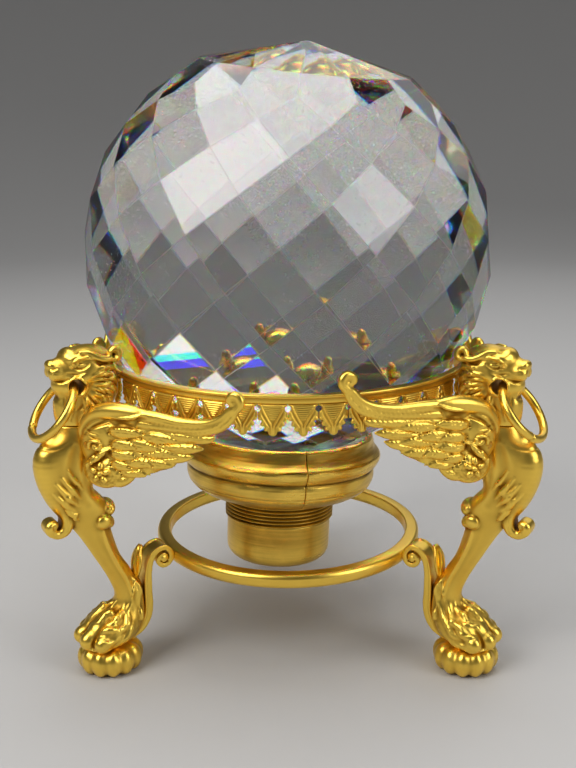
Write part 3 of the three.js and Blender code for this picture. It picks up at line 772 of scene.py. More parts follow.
# Quills in the middle plane of the wing, each from root to tip: along the wing, up and radius
PRIMARIES = [level(0, *rows) for rows in (
    [(-34, 71, 1.2), (-28, 70.4, 2), (-24.4, 71.8, 1.5), (-21.6, 73.8, 0.3)],
    [(-34, 74.6, 1.2), (-27, 73.9, 1.9), (-21.4, 74.7, 1.7), (-17.6, 76, 1.1), (-15.2, 77.2, 0.25)],
    [(-34, 77.4, 1.2), (-25, 77.2, 1.9), (-17, 77.8, 1.8), (-11.6, 79.2, 1.3), (-8.8, 80.4, 0.3)],
    [(-34, 80.4, 1.2), (-24, 80.3, 1.9), (-14, 81.2, 2), (-7.4, 82.2, 1.5), (-4, 83.3, 0.35)],
    [(-34, 84, 1.2), (-22, 84, 1.9), (-12, 85, 2.1), (-5.4, 85.6, 1.7), (-1.2, 86.2, 0.5)],
    [(-34, 87, 1.2), (-21, 87, 1.6), (-12, 88, 1.7), (-4, 88.9, 1.6), (0.4, 89.4, 1.2), (2, 90.2, 0.6)],
    [(-30, 89.6, 1.2), (-20, 89.6, 1.5), (-10, 90.4, 1.6), (-2, 91.6, 1.6), (3, 93.6, 1.7), (6, 96.2, 1.5),
     (7.6, 98.8, 1.3), (8.4, 100.6, 1)],
    [(-26, 92.2, 1.6), (-16, 92.3, 2), (-8, 92.4, 1.8), (-1, 93.6, 1.6), (3.6, 95.8, 1.6), (6.2, 98.4, 1.6),
     (8.2, 100.4, 1.4), (9.2, 101.8, 1.2)],
)]
TIP_CURL = level(0, (7.8, 99.6, 1.4), (9.2, 101.2, 1.3), (9.3, 102.8, 1.25), (8.1, 103.9, 1.2),
                 (6.5, 103.6, 1.15), (5.9, 102.2, 1.05), (6.6, 101.3, 0.8))
LEADING_EDGE = level(0, (-40.4, 81, 0.9), (-40.2, 84.2, 1.5), (-38.2, 87.8, 2), (-35.2, 90.2, 2.3),
                     (-30.5, 91.6, 2.6), (-25.4, 92.2, 2.5), (-21.4, 92.3, 1.8), (-18.6, 91.4, 0.8))
# Coverts lie over the primaries on both faces: start, end, radius and how far out
COVERTS = [
    (-26.6, 73.6, -17.2, 74.6, 1.6, 0.6), (-30, 75.4, -21, 76, 1.7, 0.9),
    (-20.4, 77.8, -9.4, 79.2, 1.6, 0.5), (-25.4, 77.2, -15.4, 78.6, 1.7, 0.8),
    (-30.4, 78.8, -20.4, 79.8, 1.7, 1), (-20.6, 81.4, -8.2, 82.8, 1.7, 0.5),
    (-25.4, 82.6, -13.6, 83.8, 1.9, 0.8), (-30.4, 81.8, -20.4, 82.8, 1.6, 1.1),
    (-21, 86, -7.6, 87.2, 1.6, 0.5), (-31, 85.4, -19.4, 86.8, 2.1, 1.1),
]
LOBE = (-32.2, 72.6)


def wing_clay():
    clay = Clay((-43, -4.4, 65.5), (13.5, 4.4, 106.5), 0.3)
    clay.add(ellipsoid((-32.4, 0, 72.4), (6.8, 2.9, 5.2), -8), 0.5)
    clay.add(ellipsoid((-35.4, 0, 82), (5.2, 2.5, 8), 8), 1)
    clay.add(ellipsoid((-24, 0, 82.6), (13, 1.5, 8.4), 6), 1)
    for number, quill in enumerate(PRIMARIES):
        clay.add(strand(quill, flat=0.8 - 0.06 * (number % 2)), 0.1)
    clay.add(strand(TIP_CURL, steps=6), 0.15)
    clay.add(ellipsoid((7.6, 0, 102), (1.9, 1.1, 1.8)), 0.3)
    clay.add(strand(LEADING_EDGE, flat=0.92, steps=6), 0.25)
    for half in halves(clay):
        shape_feathers(half)
        clay.cut(half.ball((7.7, 1.9, 102.3), (0.8, 1.1, 0.7)), 0.3)
        shape_shoulder(half)
        shape_lobe(half)
    return clay


def barbs(half, points, spacing, reach):
    """Short slanting cuts on both sides of a quill through rows of x, y, z and radius."""
    line = smooth_line(points, 8)
    travelled = np.concatenate([[0], np.cumsum(np.linalg.norm(np.diff(line[:, :3], axis=0), axis=1))])
    for at in np.arange(spacing, travelled[-1] - spacing, spacing):
        x, z, radius = (np.interp(at, travelled, line[:, column]) for column in (0, 2, 3))
        for up in (-1, 1):
            half.groove(level(3, (x, z + 0.15 * up * radius, 0.06),
                              (x + 0.6 * reach, z + 0.5 * up * radius, 0.17),
                              (x + reach, z + 0.95 * up * radius, 0.08)), 0.08)


def shape_feathers(half):
    """The shafts of the primaries and the creases between them, then the coverts, all with barbs."""
    for quill in PRIMARIES:
        tip_x, _, tip_z, _ = quill[-1]
        half.groove([(x, 2.4, z, 0.18) for x, _, z, _ in quill[1:-1]] + [(tip_x, 2.4, tip_z, 0.06)], 0.12)
    for pair in zip(PRIMARIES, PRIMARIES[1:-1]):
        between = []
        for share in (0.15, 0.4, 0.6, 0.8, 0.95):
            first, second = (smooth_line(quill, 10)[int(share * 10 * (len(quill) - 1))] for quill in pair)
            between.append(((first[0] + second[0]) / 2, 2.4, (first[2] + second[2]) / 2, 0.3))
        half.groove(between, 0.2, 0.1)
    for quill in PRIMARIES[:-1]:
        barbs(half, quill[1:], 1.5, 1.3)
    chance = np.random.default_rng(5)
    for x0, z0, x1, z1, size, out in COVERTS:
        y = out + 0.45
        bow = chance.uniform(0.1, 0.6)
        leaf = [(x0, y * 0.6, z0, 0.3), (x0 * 0.7 + x1 * 0.3, y, z0 * 0.7 + z1 * 0.3 + bow, size),
                (x0 * 0.35 + x1 * 0.65, y, z0 * 0.35 + z1 * 0.65 + bow, size * 0.85),
                (x1, y * 0.8, z1 - 0.3, 0.12)]
        half.cut([(x, y * 1.15, z, radius + 0.35) for x, y, z, radius in leaf], 0.1, flat=0.3)
        half.add(leaf, 0.15, flat=0.5)
        half.groove([(x, 2.6, z, 0.18) for x, _, z, _ in leaf], 0.12)
        barbs(half, leaf, 1.3, 1.2)


def shape_shoulder(half):
    """The scroll and the slanting locks under the leading edge."""
    half.groove([(-19, 2.6, 91.8, 0.3), (-21.6, 2.6, 90.5, 0.7), (-26, 3, 89.2, 0.75), (-31.5, 3, 88.4, 0.75),
                 (-35.6, 3, 86.4, 0.6), (-38.8, 3, 83.6, 0.2)], 0.45)
    half.hair([(-20.4, 2.2, 92.8, 0.2), (-22.6, 2.4, 91.5, 0.55), (-26, 2.6, 90.6, 0.5),
               (-30, 2.6, 90, 0.15)], 0.1, 0.2)
    half.hair(spiral((-34.2, 80.6), 2.4, 2.5, -150, -48, 9, 0.55, shrink=0.24, squash=0.8), 0.25, 0.2)
    for lane in range(5):
        x, z = -31.6 - 0.9 * lane, 80.4 - 0.9 * lane
        half.hair([(x + 2.4, 2.6, z + 0.6, 0.15), (x, 2.6, z - 0.9, 0.62), (x - 1.8, 2.6, z - 2.9, 0.5),
                   (x - 2.6, 2.4, z - 4.6, 0.1)], 0.2, 0.18)
    for lane in range(3):
        half.groove(level(2.6, (-38.6 + lane, 85.6 - lane * 1.6, 0.1),
                          (-36.8 + lane, 84.4 - lane * 1.4, 0.35), (-33.6 + lane, 84 - lane * 1.2, 0.1)),
                    0.3)
    half.clay.cut(half.ball((-30, 2.4, 82.9), (1, 1.3, 0.8), 20), 0.2)


def shape_lobe(half):
    """A rosette on the lower lobe of the wing with lines and scales round it."""
    for petal in range(5):
        angle = math.tau * (petal + 0.3) / 5
        near, far = on_circle(LOBE, 1.9, angle), on_circle(LOBE, 2.8, angle)
        half.hair(level(2.8, (*near, 0.9), (*far, 0.8)), 0.1, 0.12)
        half.groove([(near[0], 3, near[1], 0.16), (far[0], 2.8, far[1], 0.12)], 0.1, 0.2)
    half.hair(level(2.8, (*LOBE, 0.8), (-32, 72.6, 0.8)), 0.3, 0.1)
    for wide, first, last in ((4, -150, 30), (5.2, -140, 0)):
        half.groove(spiral(LOBE, 2.6, wide, first, (last - first) / 7, 8, 0.2, squash=0.85), 0.25)
    for lane in range(7):
        angle = math.radians(-150 + 26 * lane)
        near = (-32.2 + 4.3 * math.cos(angle), 2.8, 72.6 + 3.7 * math.sin(angle), 0.1)
        far = (-32.2 + 5.9 * math.cos(angle + 0.12), 2.2, 72.6 + 5 * math.sin(angle + 0.12), 0.22)
        half.groove([near, far], 0.2)
    for lane in range(6):
        x = -19.6 + 1.25 * lane
        half.groove(level(2.4, (x, 82.2 + lane * 0.1, 0.1), (x + 0.4, 80.8 + lane * 0.12, 0.28),
                          (x - 0.1, 79.2 + lane * 0.2, 0.1)), 0.15)


# ---------------------------------------------------------------- strap, leaf and foot

ROLL = (47.9, 34.3)
# The roll at the strap's end from its eye outward: degrees and distance from the middle
ROLL_TURNS = [
    (630, 0.5), (540, 0.95), (450, 1.4), (360, 1.85), (315, 2.05), (270, 2.25), (225, 2.45), (180, 2.7),
    (135, 3.2), (95, 3.85),
]
STRAP_LINE = [
    (50.6, 37.2, 0.95), (52.5, 34.4, 1.05), (53.3, 30.4, 1.15), (53.5, 25, 1.25), (53.4, 19.4, 1.3),
    (54.1, 15.4, 1.2), (56.2, 12, 0.95), (59.4, 9.9, 0.6),
]


def ribbon(points, half_width, rim, depth):
    """A band through rows of x, z and half thickness, hollowed between a rim along each edge."""
    side_view, low, high = strand(level(0, *points), steps=5)

    def distance(x, y, z):
        thin = depth * np.clip((half_width - rim - np.abs(y)) / 0.35, 0, 1)
        return np.maximum(side_view(x, 0, z) + thin, np.abs(y) - half_width)

    return distance, (low[0], -half_width, low[2]), (high[0], half_width, high[2])


def scroll_strap():
    clay = Clay((43.4, -4.6, 8.2), (61, 4.6, 40.6), 0.28)
    roll = [(*on_circle(ROLL, wide, math.radians(turn)), 0.62 + 0.06 * wide) for turn, wide in ROLL_TURNS]
    clay.add(ribbon(roll + STRAP_LINE, 3.6, 0.75, 0.38), 0.1)
    clay.add(rod(0.95, (ROLL[0], -3.9, ROLL[1]), (ROLL[0], 3.9, ROLL[1])), 0.3)
    for half in halves(clay):
        half.cut([(x + 0.25, 3.7, z + 0.1, 0.26) for x, z, _ in STRAP_LINE[1:]], 0.2)
    return clay.mesh("scroll_strap")


def strap_leaf():
    clay = Clay((52, -4.2, 27), (60.5, 4.2, 40.6), 0.24)
    clay.add(ellipsoid((56, 0, 33.4), (1.5, 2.9, 5), -8), 0.4)
    clay.add(strand(level(0, (55.4, 36.4, 1.5), (54.9, 38.3, 1.1), (54.2, 38.8, 0.6))), 0.5)
    for half in halves(clay):
        half.hair([(56.6, 2.6, 30.4, 0.4), (55.9, 2.9, 34.2, 0.6), (55.2, 2, 37.4, 0.5),
                   (54.6, 0.6, 38.9, 0.4)], 0.15, 0.3)
        half.groove([(56.8, 2, 30.6, 0.15), (56.3, 1.5, 34.4, 0.35), (55.6, 0.7, 37.4, 0.2)], 0.3)
    clay.groove(level(0, (57.8, 31, 0.2), (57.2, 34.6, 0.4), (56.2, 37.8, 0.2)), 0.4)
    return clay.mesh("strap_leaf")


FOOT_LOBES = 12
FOOT_DISTANCE = 66


def bun_foot():
    """A melon-shaped foot, flat on top and below, with the well of its screw."""
    clay = Clay((-11.4, -11.4, -0.8), (11.4, 11.4, 10.2), 0.34)
    clay.add(ellipsoid((0, 0, 4.5), (9.95, 9.95, 5.5)), 0.4)
    for lobe in range(FOOT_LOBES):
        turn = 360 * (lobe + 0.5) / FOOT_LOBES
        x, y = on_circle((0, 0), 7.5, math.radians(turn))
        clay.add(ellipsoid((x, y, 4.3), (2.95, 2.9, 4.3), 0, turn), 0.7)
    clay.cut(rod(12, (0, 0, 9), (0, 0, 12)), 0.5)
    clay.cut(rod(12, (0, 0, -3), (0, 0, 0)), 0.15)
    clay.cut(rod(3.4, (0, 0, -2), (0, 0, 2.6)), 0.15)
    return clay.mesh("bun_foot", lambda points: points + np.array((FOOT_DISTANCE, 0, 0)))


# ---------------------------------------------------------------- lathe work

def on_outline(outline, distances):
    """Points of a closed outline at distances along it."""
    closed = np.vstack([outline, outline[:1]])
    along = np.concatenate([[0], np.cumsum(np.linalg.norm(np.diff(closed, axis=0), axis=1))])
    at = distances % along[-1]
    return np.stack([np.interp(at, along, closed[:, axis]) for axis in (0, 1)], -1)


def outline_hollows(outline, width=1.3):
    """How hollow each corner of a closed outline is: its depth below the outline near it, which darkens the
    turned piece there as painted shade.
    """
    steps = np.linalg.norm(np.roll(outline, -1, 0) - outline, axis=1)
    along = np.concatenate([[0], np.cumsum(steps)[:-1]])
    near = on_outline(outline, along[:, None] + np.linspace(-width, width, 41)).mean(1)
    direction = on_outline(outline, along + 0.3) - on_outline(outline, along - 0.3)
    outward = np.stack([direction[:, 1], -direction[:, 0]], 1)
    outward /= np.maximum(np.linalg.norm(outward, axis=1, keepdims=True), 1e-6)
    after = np.roll(outline, -1, 0)
    if np.sum(outline[:, 0] * after[:, 1] - after[:, 0] * outline[:, 1]) < 0:
        outward = -outward
    depth = ((near - outline) * outward).sum(1)
    return np.clip(0.3 + 2.0 * depth, 0, 1)


def lathe(name, profile, angles, shape=None, shade_and_grime=None):
    """Turns a closed profile of radius and height round Z.

    shape(radius, height, angle) moves the points; the last argument, a function of height and angle, makes
    places more hollow, which darkens them as painted shade in grooves and slits, with some grime.
    """
    profile = np.array(profile, float)
    angle, radius = np.meshgrid(angles, profile[:, 0], indexing="ij")
    height = np.repeat(profile[None, :, 1], len(angles), 0)
    hollow = np.repeat(outline_hollows(profile)[None, :], len(angles), 0)
    if shade_and_grime is not None:
        hollow = np.clip(hollow + shade_and_grime(height, angle), 0, 1)
    if shape is not None:
        radius, height = shape(radius, height, angle)
    points = np.stack([radius * np.cos(angle), radius * np.sin(angle), height], 2).reshape(-1, 3)
    return mesh_from(name, points * MM, grid_faces(*radius.shape), hollow.ravel())


def full_turn(steps):
    return np.arange(steps) * math.tau / steps


def rounded(corners, radius=0.25, pieces=3):
    """A closed outline with each corner replaced by a short arc-like bend."""
    corners = np.array(corners, float)
    outline = []
    for before, corner, after in zip(np.roll(corners, 1, 0), corners, np.roll(corners, -1, 0)):
        to_before, to_after = before - corner, after - corner
        reach = min(radius, np.linalg.norm(to_before) / 2.2, np.linalg.norm(to_after) / 2.2)
        start = corner + to_before / np.linalg.norm(to_before) * reach
        end = corner + to_after / np.linalg.norm(to_after) * reach
        for t in np.linspace(0, 1, pieces + 1):
            outline.append((1 - t) ** 2 * start + 2 * t * (1 - t) * corner + t ** 2 * end)
    return np.array(outline)


def handmade(size, turns, phase):
    """The slight waviness of a ring bent and filed by hand."""
    def shape(radius, height, angle):
        wave = np.sin(turns * angle + phase) + 0.6 * np.sin((2 * turns + 3) * angle + 2 * phase)
        return radius + size * wave, height + 0.6 * size * np.sin((turns + 2) * angle + 3 * phase)
    return shape


def seat_ring():
    profile = rounded([
        (57.05, 94.75), (58.6, 94.75), (58.85, 95.1), (58.95, 96.3), (59.5, 96.75), (59.5, 97.3),
        (59.1, 97.5), (57.05, 97.5),
    ], 0.2)
    return lathe("seat_ring", profile, full_turn(240), handmade(0.03, 5, 1.0))


def stretcher_ring():
    profile = rounded([
        (39.9, 33), (40.8, 31.8), (43.6, 31.8), (44.5, 33), (44.6, 35.2), (43.9, 36.3), (40.2, 36.4),
    ], 0.55, 4)
    return lathe("stretcher_ring", profile, full_turn(220), handmade(0.05, 3, 0.4))


COLLAR_SEAM = math.radians(-90 + 15)


def seam_angles(steps):
    """Angles round a turned piece, close together at the seam of the collar."""
    near = COLLAR_SEAM + np.radians([-0.9, -0.5, -0.28, -0.12, 0, 0.12, 0.28, 0.5, 0.9])
    spread = COLLAR_SEAM + np.radians(1.4) + np.arange(steps) * (math.tau - math.radians(2.8)) / (steps - 1)
    return np.concatenate([near, spread])


def seam_slit(angle):
    away = np.degrees(np.abs((angle - COLLAR_SEAM + math.pi) % math.tau - math.pi))
    return np.clip(1 - away / 0.34, 0, 1)


def split_at_seam(radius, height, angle):
    slit = seam_slit(angle)
    outer = radius > 29
    dents = 0.05 * np.sin(7 * angle + height) + 0.04 * np.sin(19 * angle - 2 * height)
    return radius - np.where(outer, 0.7 * slit, 0) + np.where(outer, dents, 0), height


def collar():
    """The turned cup: a bowl, a groove, a ridge and a hollow flare up to the lip."""
    profile = rounded([
        (18.4, -73), (18.4, -81.2), (20.5, -81), (23.4, -80.05), (26.6, -78.75), (28.6, -77.5),
        (29.9, -76.3), (30.5, -75.3), (30.45, -75), (30.75, -74.7), (31, -73.8), (31.15, -72.2),
        (31.05, -71), (30.75, -70.3), (31.1, -69.9), (31.9, -69.3), (32.7, -68), (33.1, -66.7), (33, -65.8),
        (32.55, -65.1), (31.75, -64.3), (31.1, -63.3), (30.65, -62.1), (30.4, -60.9), (30.25, -60.1),
        (29.8, -59.4), (28.5, -59.4), (28.5, -68.4), (26, -70.4), (0.01, -70.4), (0.01, -73),
    ], 0.22, 2)

    # Painted shade: the slit at the seam is darkened as if in shadow, with some grime.
    def shade_and_grime(height, angle):
        return 0.7 * seam_slit(angle)

    return lathe("collar", profile, seam_angles(230), split_at_seam, shade_and_grime)


THREAD_TOP, THREAD_END, THREAD_PITCH = -81.6, -88.9, 1.2


def thread_crest(height, angle):
    """How high on a turn of the thread a place lies, and how much of the thread there is."""
    turns = (height - THREAD_END) / THREAD_PITCH - angle / math.tau
    ridge = np.abs(2 * (turns % 1) - 1)
    fade = np.clip((height - THREAD_END) / 0.8, 0, 1) * np.clip((THREAD_TOP + 0.3 - height) / 0.5, 0, 1)
    return np.clip(ridge * 1.5 - 0.25, 0, 1), fade


def spigot():
    """The turned spigot with its screw thread, which runs out at both ends."""
    heights = [-103.05, -103.05, -102.95, -102.6, -102.1, -101.4, -100.5, -99.4, -98, -94, -89.4]
    radii = [0.01, 11.2, 12.6, 13.9, 14.9, 15.8, 16.5, 17.0, 17.15, 17.2, 17.2]
    threaded = np.arange(THREAD_END, THREAD_TOP, 0.12)
    heights = np.concatenate([heights, threaded, [-81.3, -78, -73.6, -73.4, -73.4]])
    radii = np.concatenate([radii, np.full(len(threaded), 17.3), [17.3, 17.3, 17.3, 17.0, 0.01]])

    def shape(radius, height, angle):
        crest, fade = thread_crest(height, angle)
        worn = 0.02 * np.sin(23 * angle) * np.sin(1.7 * height)
        return radius + (0.85 * crest - 0.1) * fade + np.where(radius > 12, worn, 0), height

    # Painted shade: the grooves between the thread's crests are darkened as if in shadow, with some grime.
    def shade_and_grime(height, angle):
        crest, fade = thread_crest(height, angle)
        return 0.6 * (1 - crest) * fade

    return lathe("threaded_spigot", np.stack([radii, heights], 1), full_turn(144), shape, shade_and_grime)


def cement():
    profile = rounded([
        (28.2, -68.3), (28.2, -60.9), (27.5, -60.3), (26.6, -60.3), (25.2, -60.8), (24, -61.3), (18, -63.3),
        (12, -64.6), (0.01, -65.7), (0.01, -70.1), (25.8, -70.1),
    ], 0.3)

    def shape(radius, height, angle):
        return radius, height + 0.12 * np.sin(13 * angle) * np.sin(5 * angle + 1) * (height > -64)

    return lathe("cement_bed", profile, full_turn(120), shape)


RING_RADIUS, RING_TUBE = 9.6, 1.3
RING_LEAN = math.radians(38)


def mouth_ring():
    """A bent wire ring, a little stepped where its ends meet."""
    joint = math.radians(-128)
    around = np.sort(np.concatenate([full_turn(110) - math.pi, joint + np.radians([-1.2, -0.5, 0.5, 1.2])]))
    angle, section = np.meshgrid(around, full_turn(20), indexing="ij")
    away = (angle - joint + math.pi) % math.tau - math.pi
    step = np.where(away >= 0, 0.2, -0.2) * np.exp(-np.abs(away) / 0.3)
    tube = RING_TUBE * (1 - 0.16 * np.exp(-(np.degrees(away) / 0.9) ** 2))
    reach = RING_RADIUS + step + tube * np.cos(section)
    hanging = [-tube * np.sin(section), reach * np.cos(angle), reach * np.sin(angle) - RING_RADIUS]
    lean = np.array(Matrix.Rotation(-RING_LEAN, 3, "Y"))
    points = np.stack(hanging, 2).reshape(-1, 3) @ lean.T + np.array((MOUTH[0], 0, MOUTH[1]))
    return mesh_from("mouth_ring", points * MM, grid_faces(*angle.shape))


# ---------------------------------------------------------------- gallery

LEAVES = 14
STRIP_START, STRIP_SPAN = math.radians(1), math.radians(118)
GALLERY_RADIUS = 58.35
GALLERY_TOP = 94.65
LEAF_WIDTH = STRIP_SPAN * GALLERY_RADIUS / LEAVES


def outline_distance(outline):
    """A function for the distance to a closed outline of across and up, negative inside."""
    corners = np.array(outline, float)

    def distance(x, z):
        nearest = np.full(np.broadcast(x, z).shape, 1e9)
        inside = np.zeros(nearest.shape, bool)
        for (ax, az), (bx, bz) in zip(corners, np.roll(corners, -1, 0)):
            dx, dz = bx - ax, bz - az
            along = np.clip(((x - ax) * dx + (z - az) * dz) / (dx * dx + dz * dz + 1e-12), 0, 1)
            nearest = np.minimum(nearest, (x - ax - along * dx) ** 2 + (z - az - along * dz) ** 2)
            crossing = (az > z) != (bz > z)
            inside ^= crossing & (x < (bx - ax) * (z - az) / (bz - az + 1e-12) + ax)
        return np.where(inside, -1, 1) * np.sqrt(nearest)

    return distance


def leaf_half_outline():
    """From the top edge down to the tip: across from the middle of the leaf, and up."""
    half = LEAF_WIDTH / 2
    hole = [on_circle((half, -1.25), 0.95, math.radians(turn)) for turn in range(90, 241, 30)]
    lobes = [
        (0.12, -2.2), (0.06, -3), (0.1, -3.9), (0.45, -4.6), (1, -4.7), (1.3, -4.95), (0.95, -5.3),
        (0.8, -5.9), (1.1, -6.4), (1.7, -6.4), (2.1, -6.6), (1.8, -7), (1.8, -7.6), (2.2, -7.95),
        (2.75, -7.8), (3.1, -8), (3.05, -8.5), (3.6, -9.1),
    ]
    return [(half, 0.05), *hole, *((half - inward, up) for inward, up in lobes), (0, -9.3)]


def gallery_leaf():
    """One hanging leaf: two ribs that meet in a V with rungs between them, and serrated lobes."""
    half = LEAF_WIDTH / 2
    right = leaf_half_outline()
    left = [(-x, z) for x, z in reversed(right[:-1])]
    flat_distance = outline_distance(right + left)
    clay = Clay((-half - 0.2, -1.1, -9.8), (half + 0.2, 1.3, 0.4), 0.21)

    def blade(x, y, z):
        return np.maximum(flat_distance(x, z), np.abs(y) - 0.45)

    clay.add((blade, (-half, -0.5, -9.4), (half, 0.5, 0.1)), 0.1)
    ribs = [
        [(3.3, 0.6, -0.2, 0.24), (2.3, 0.65, -2.5, 0.27), (1.1, 0.65, -4.8, 0.27), (0.36, 0.65, -6.3, 0.24),
         (0.24, 0.6, -8.6, 0.16)],
        [(half - 0.75, 0.55, -2.3, 0.16), (3, 0.6, -3.7, 0.22), (2, 0.6, -5.3, 0.22), (1.1, 0.6, -6.7, 0.16)],
        level(0.5, (3.2, -3.2, 0.14), (3.8, -4.2, 0.3)),
        level(0.5, (2.5, -4.6, 0.14), (3.1, -5.8, 0.3)),
        level(0.5, (1.4, -6.3, 0.14), (2, -7.4, 0.3)),
    ]
    for side, rib in itertools.product((-1, 1), ribs):
        clay.add(strand([(x * side, y, z, radius) for x, y, z, radius in rib]), 0.08)
    for rung in range(7):
        z = -0.45 - 0.62 * rung
        reach = 2.75 - 0.36 * rung
        clay.add(strand([(-reach, 0.5, z, 0.17), (0, 0.55, z - 0.08, 0.2), (reach, 0.5, z, 0.17)]), 0.06)
    return clay


def bent_round(points, offset):
    """Bends a flat strip, offset along it in millimetres, round the seat."""
    angle = (points[:, 0] + offset) / GALLERY_RADIUS
    reach = GALLERY_RADIUS + points[:, 1]
    return np.stack([reach * np.cos(angle), reach * np.sin(angle), GALLERY_TOP + points[:, 2]], 1)


def gallery_strip():
    """A third of the leaf gallery. It starts on +X and runs towards +Y."""
    points, faces, hollow = gallery_leaf().surface()
    # Painted shade: the blade and its inner face, lying lower than the ribs, are made more hollow and so
    # darker, as if in the ribs' shadow, while the whole leaf is made a little less hollow.
    behind_the_ribs = np.clip((0.62 - points[:, 1]) / 0.14, 0, 1)
    hollow = np.clip(hollow - 0.1 + 0.5 * behind_the_ribs, 0, 1)
    strip = [bent_round(points, (number + 0.5) * LEAF_WIDTH) for number in range(LEAVES)]
    joined = np.concatenate([faces + len(points) * number for number in range(LEAVES)])
    return mesh_from("gallery_strip", np.concatenate(strip) * MM, joined, np.tile(hollow, LEAVES))


# ---------------------------------------------------------------- crystal

SAME_FACET = math.radians(0.6)
WORN_EDGE = 0.16 * MM
# A face smaller than this many square metres belongs to a worn edge
LEAST_FACET = 8 * MM ** 2


def crystal():
    """The ball with the facets of its CAD solid and edges rounded by wear."""
    shape = bmesh.new()
    shape.from_mesh(nodes["crystal_ball"].data)
    bmesh.ops.remove_doubles(shape, verts=shape.verts, dist=0.02 * MM)
    bmesh.ops.dissolve_limit(shape, angle_limit=SAME_FACET, verts=shape.verts, edges=shape.edges)
    bmesh.ops.bevel(shape, geom=shape.edges[:],
                    offset=WORN_EDGE, segments=2, affect="EDGES", clamp_overlap=True)
    for face in shape.faces:
        face.material_index = 0 if face.calc_area() > LEAST_FACET else 1
        face.smooth = False
    mesh = bpy.data.meshes.new("crystal_ball")
    shape.to_mesh(mesh)
    shape.free()
    return mesh


# ---------------------------------------------------------------- pieces in place

def placed(name, mesh, finish, body, node, matrix=None):
    piece = bpy.data.objects.new(name, mesh)
    if matrix is not None:
        piece.matrix_world = matrix
    bpy.context.scene.collection.objects.link(piece)
    if not mesh.materials:
        mesh.materials.append(materials[finish])
    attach(piece, body)
    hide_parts(node)
    return piece


def turned_to(azimuth, further=0.0):
    """A turn about Z that brings what lies on +X to an azimuth, and further by an angle."""
    return Matrix.Rotation(math.radians(azimuth - 90) + further, 4, "Z")


# The left wing at the front has turned about its screw and slipped down
LOOSE_DROOP = math.radians(5.5)
LOOSE_SLIP = 1.2
WING_SCREW = (-37.4, 79)


def drooped(points):
    cos, sin = math.cos(LOOSE_DROOP), math.sin(LOOSE_DROOP)
    x, z = points[:, 0] - WING_SCREW[0], points[:, 2] - WING_SCREW[1]
    turned = [cos * x + sin * z + WING_SCREW[0], points[:, 1], cos * z - sin * x + WING_SCREW[1] - LOOSE_SLIP]
    return np.stack(turned, 1)


def wing_mesh(clay, side, loose=False):
    cos, sin = math.cos(WING_TURN), math.sin(WING_TURN)
    normal = np.array((cos, side * sin, 0))
    along = np.array((-sin, side * cos, 0))

    def change(points):
        if loose:
            points = drooped(points)
        x, y, z = points[:, 0:1], points[:, 1:2], points[:, 2:3]
        return normal * (WING_DISTANCE + y) + along * x + np.array((0, 0, 1)) * z

    mesh = clay.mesh("wing", change)
    if side > 0:
        mesh.flip_normals()
    return mesh


def place_legs():
    wings = wing_clay()
    made = {
        "casting": leg_casting(),
        "head": head_casting(),
        "wing_left": wing_mesh(wings, 1),
        "wing_right": wing_mesh(wings, -1),
        "scroll_strap": scroll_strap(),
        "strap_leaf": strap_leaf(),
        "bun_foot": bun_foot(),
        "mouth_ring": mouth_ring(),
    }
    loose_wing = wing_mesh(wings, 1, loose=True)
    for leg, azimuth in LEGS.items():
        for part, mesh in made.items():
            if (leg, part) == ("leg_c", "wing_left"):
                mesh = loose_wing
            body = "mouth_ring_" + leg[-1] if part == "mouth_ring" else "stand"
            placed(f"{leg}_{part}_look", mesh, "ormolu", body, f"{leg}_{part}", turned_to(azimuth))


def place_rings():
    placed("seat_ring_look", seat_ring(), "ormolu", "stand", "seat_ring")
    placed("stretcher_ring_look", stretcher_ring(), "ormolu", "stand", "stretcher_ring")
    strip = gallery_strip()
    for number, azimuth in enumerate(LEGS.values()):
        node = f"gallery_strip_{number + 1}"
        placed(node + "_look", strip, "ormolu", "stand", node, turned_to(azimuth, STRIP_START))


def place_ball():
    lean = Matrix.Rotation(-BALL_LEAN_BACK, 4, "X") @ Matrix.Rotation(BALL_LEAN_RIGHT, 4, "Y")
    matrix = Matrix.Translation(BALL_CENTRE) @ lean
    placed("collar_look", collar(), "brass", "ball", "collar", matrix)
    placed("cement_bed_look", cement(), "cement", "ball", "cement_bed", matrix)
    placed("threaded_spigot_look", spigot(), "brass", "ball", "threaded_spigot", matrix)
    mesh = crystal()
    mesh.materials.append(materials["crystal"])
    mesh.materials.append(materials["worn_crystal"])
    placed("crystal_ball_look", mesh, "crystal", "ball", "crystal_ball")


# ---------------------------------------------------------------- CAD nodes that stay

for name, node in nodes.items():
    slot = node.data.materials[0].name.split(".")[0] if node.data.materials else "ormolu"
    finish = slot if slot in materials else "ormolu"
    node.data.materials.clear()
    node.data.materials.append(materials[finish])


# ---------------------------------------------------------------- stage, light and camera

FLOOR_RADIUS = 0.9
RIM_RADIUS = 0.85
RIM_TURN = math.radians(82)
RIM_STEPS = 14
FLOOR_SEGMENTS = 96


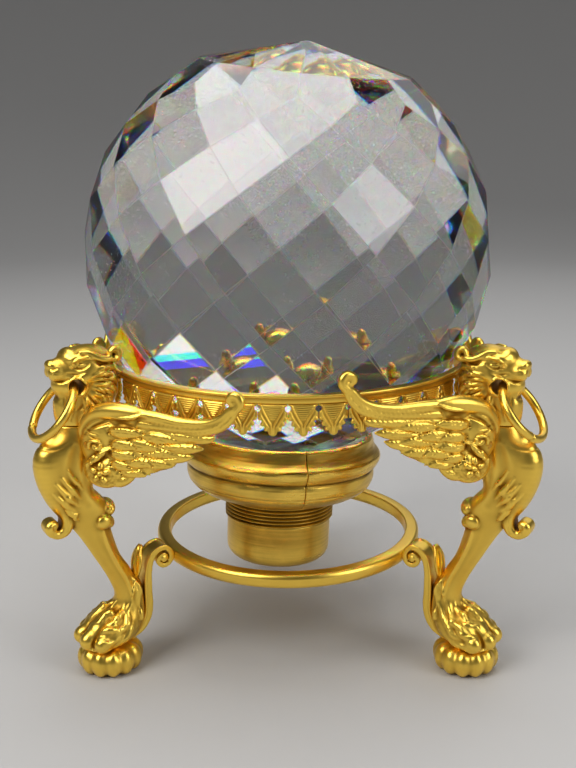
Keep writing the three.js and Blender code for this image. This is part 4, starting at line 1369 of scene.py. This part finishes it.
def make_stage():
    """A round pale floor whose rim curves up into a low wall, the same from every side."""
    vertices = [(0, 0, 0)]
    for tilt in np.linspace(0, RIM_TURN, RIM_STEPS + 1):
        radius, height = FLOOR_RADIUS + RIM_RADIUS * math.sin(tilt), RIM_RADIUS * (1 - math.cos(tilt))
        vertices += [(*on_circle((0, 0), radius, angle), height) for angle in full_turn(FLOOR_SEGMENTS)]
    faces = []
    for step in range(FLOOR_SEGMENTS):
        following = (step + 1) % FLOOR_SEGMENTS
        faces.append((0, 1 + step, 1 + following))
        for here in range(1, RIM_STEPS * FLOOR_SEGMENTS, FLOOR_SEGMENTS):
            there = here + FLOOR_SEGMENTS
            faces.append((here + step, there + step, there + following, here + following))
    mesh = bpy.data.meshes.new("studio_floor")
    mesh.from_pydata(vertices, [], faces)
    mesh.shade_smooth()
    floor = bpy.data.objects.new("studio_floor", mesh)
    bpy.context.scene.collection.objects.link(floor)
    material, tree, shader = new_material("studio_floor")
    shader.inputs["Base Color"].default_value = (0.46, 0.455, 0.45, 1)
    shader.inputs["Roughness"].default_value = 0.8
    mesh.materials.append(material)


def make_light(name, place, target, size, watts, colour=(1, 1, 1)):
    light = bpy.data.lights.new(name, "AREA")
    light.shape = "RECTANGLE"
    light.size, light.size_y = size
    light.energy = watts
    light.color = colour
    lamp = bpy.data.objects.new(name, light)
    lamp.location = place
    direction = Vector(target) - Vector(place)
    lamp.rotation_euler = direction.to_track_quat("-Z", "Y").to_euler()
    bpy.context.scene.collection.objects.link(lamp)


def make_lights():
    middle = (0, 0, 0.1)
    make_light("key_light", (-0.55, -0.5, 0.75), middle, (0.5, 0.6), 6.0, (1.0, 0.98, 0.95))
    make_light("fill_light", (0.66, -0.42, 0.45), middle, (0.35, 0.6), 2.4, (0.97, 0.98, 1.0))
    make_light("back_light", (0.35, 0.66, 0.6), middle, (0.9, 0.5), 1.2)
    make_light("top_light", (0, 0.02, 0.9), middle, (0.8, 0.7), 6)
    world = bpy.data.worlds.new("studio")
    world.use_nodes = True
    background = world.node_tree.nodes["Background"]
    background.inputs["Color"].default_value = (0.5, 0.52, 0.55, 1)
    background.inputs["Strength"].default_value = 0.06
    bpy.context.scene.world = world


CAMERA_PLACE = (0, -0.3536, 0.1786)
CAMERA_LOOKS_DOWN = math.radians(14.8)


def make_camera():
    data = bpy.data.cameras.new("camera")
    data.lens = 51.56
    data.sensor_width = 36
    data.clip_start = 0.01
    camera = bpy.data.objects.new("camera", data)
    camera.location = CAMERA_PLACE
    camera.rotation_euler = (math.radians(90) - CAMERA_LOOKS_DOWN, 0, 0)
    bpy.context.scene.collection.objects.link(camera)
    bpy.context.scene.camera = camera


place_legs()
place_rings()
place_ball()
make_stage()
make_lights()
make_camera()
bpy.context.scene.view_settings.view_transform = "Standard"
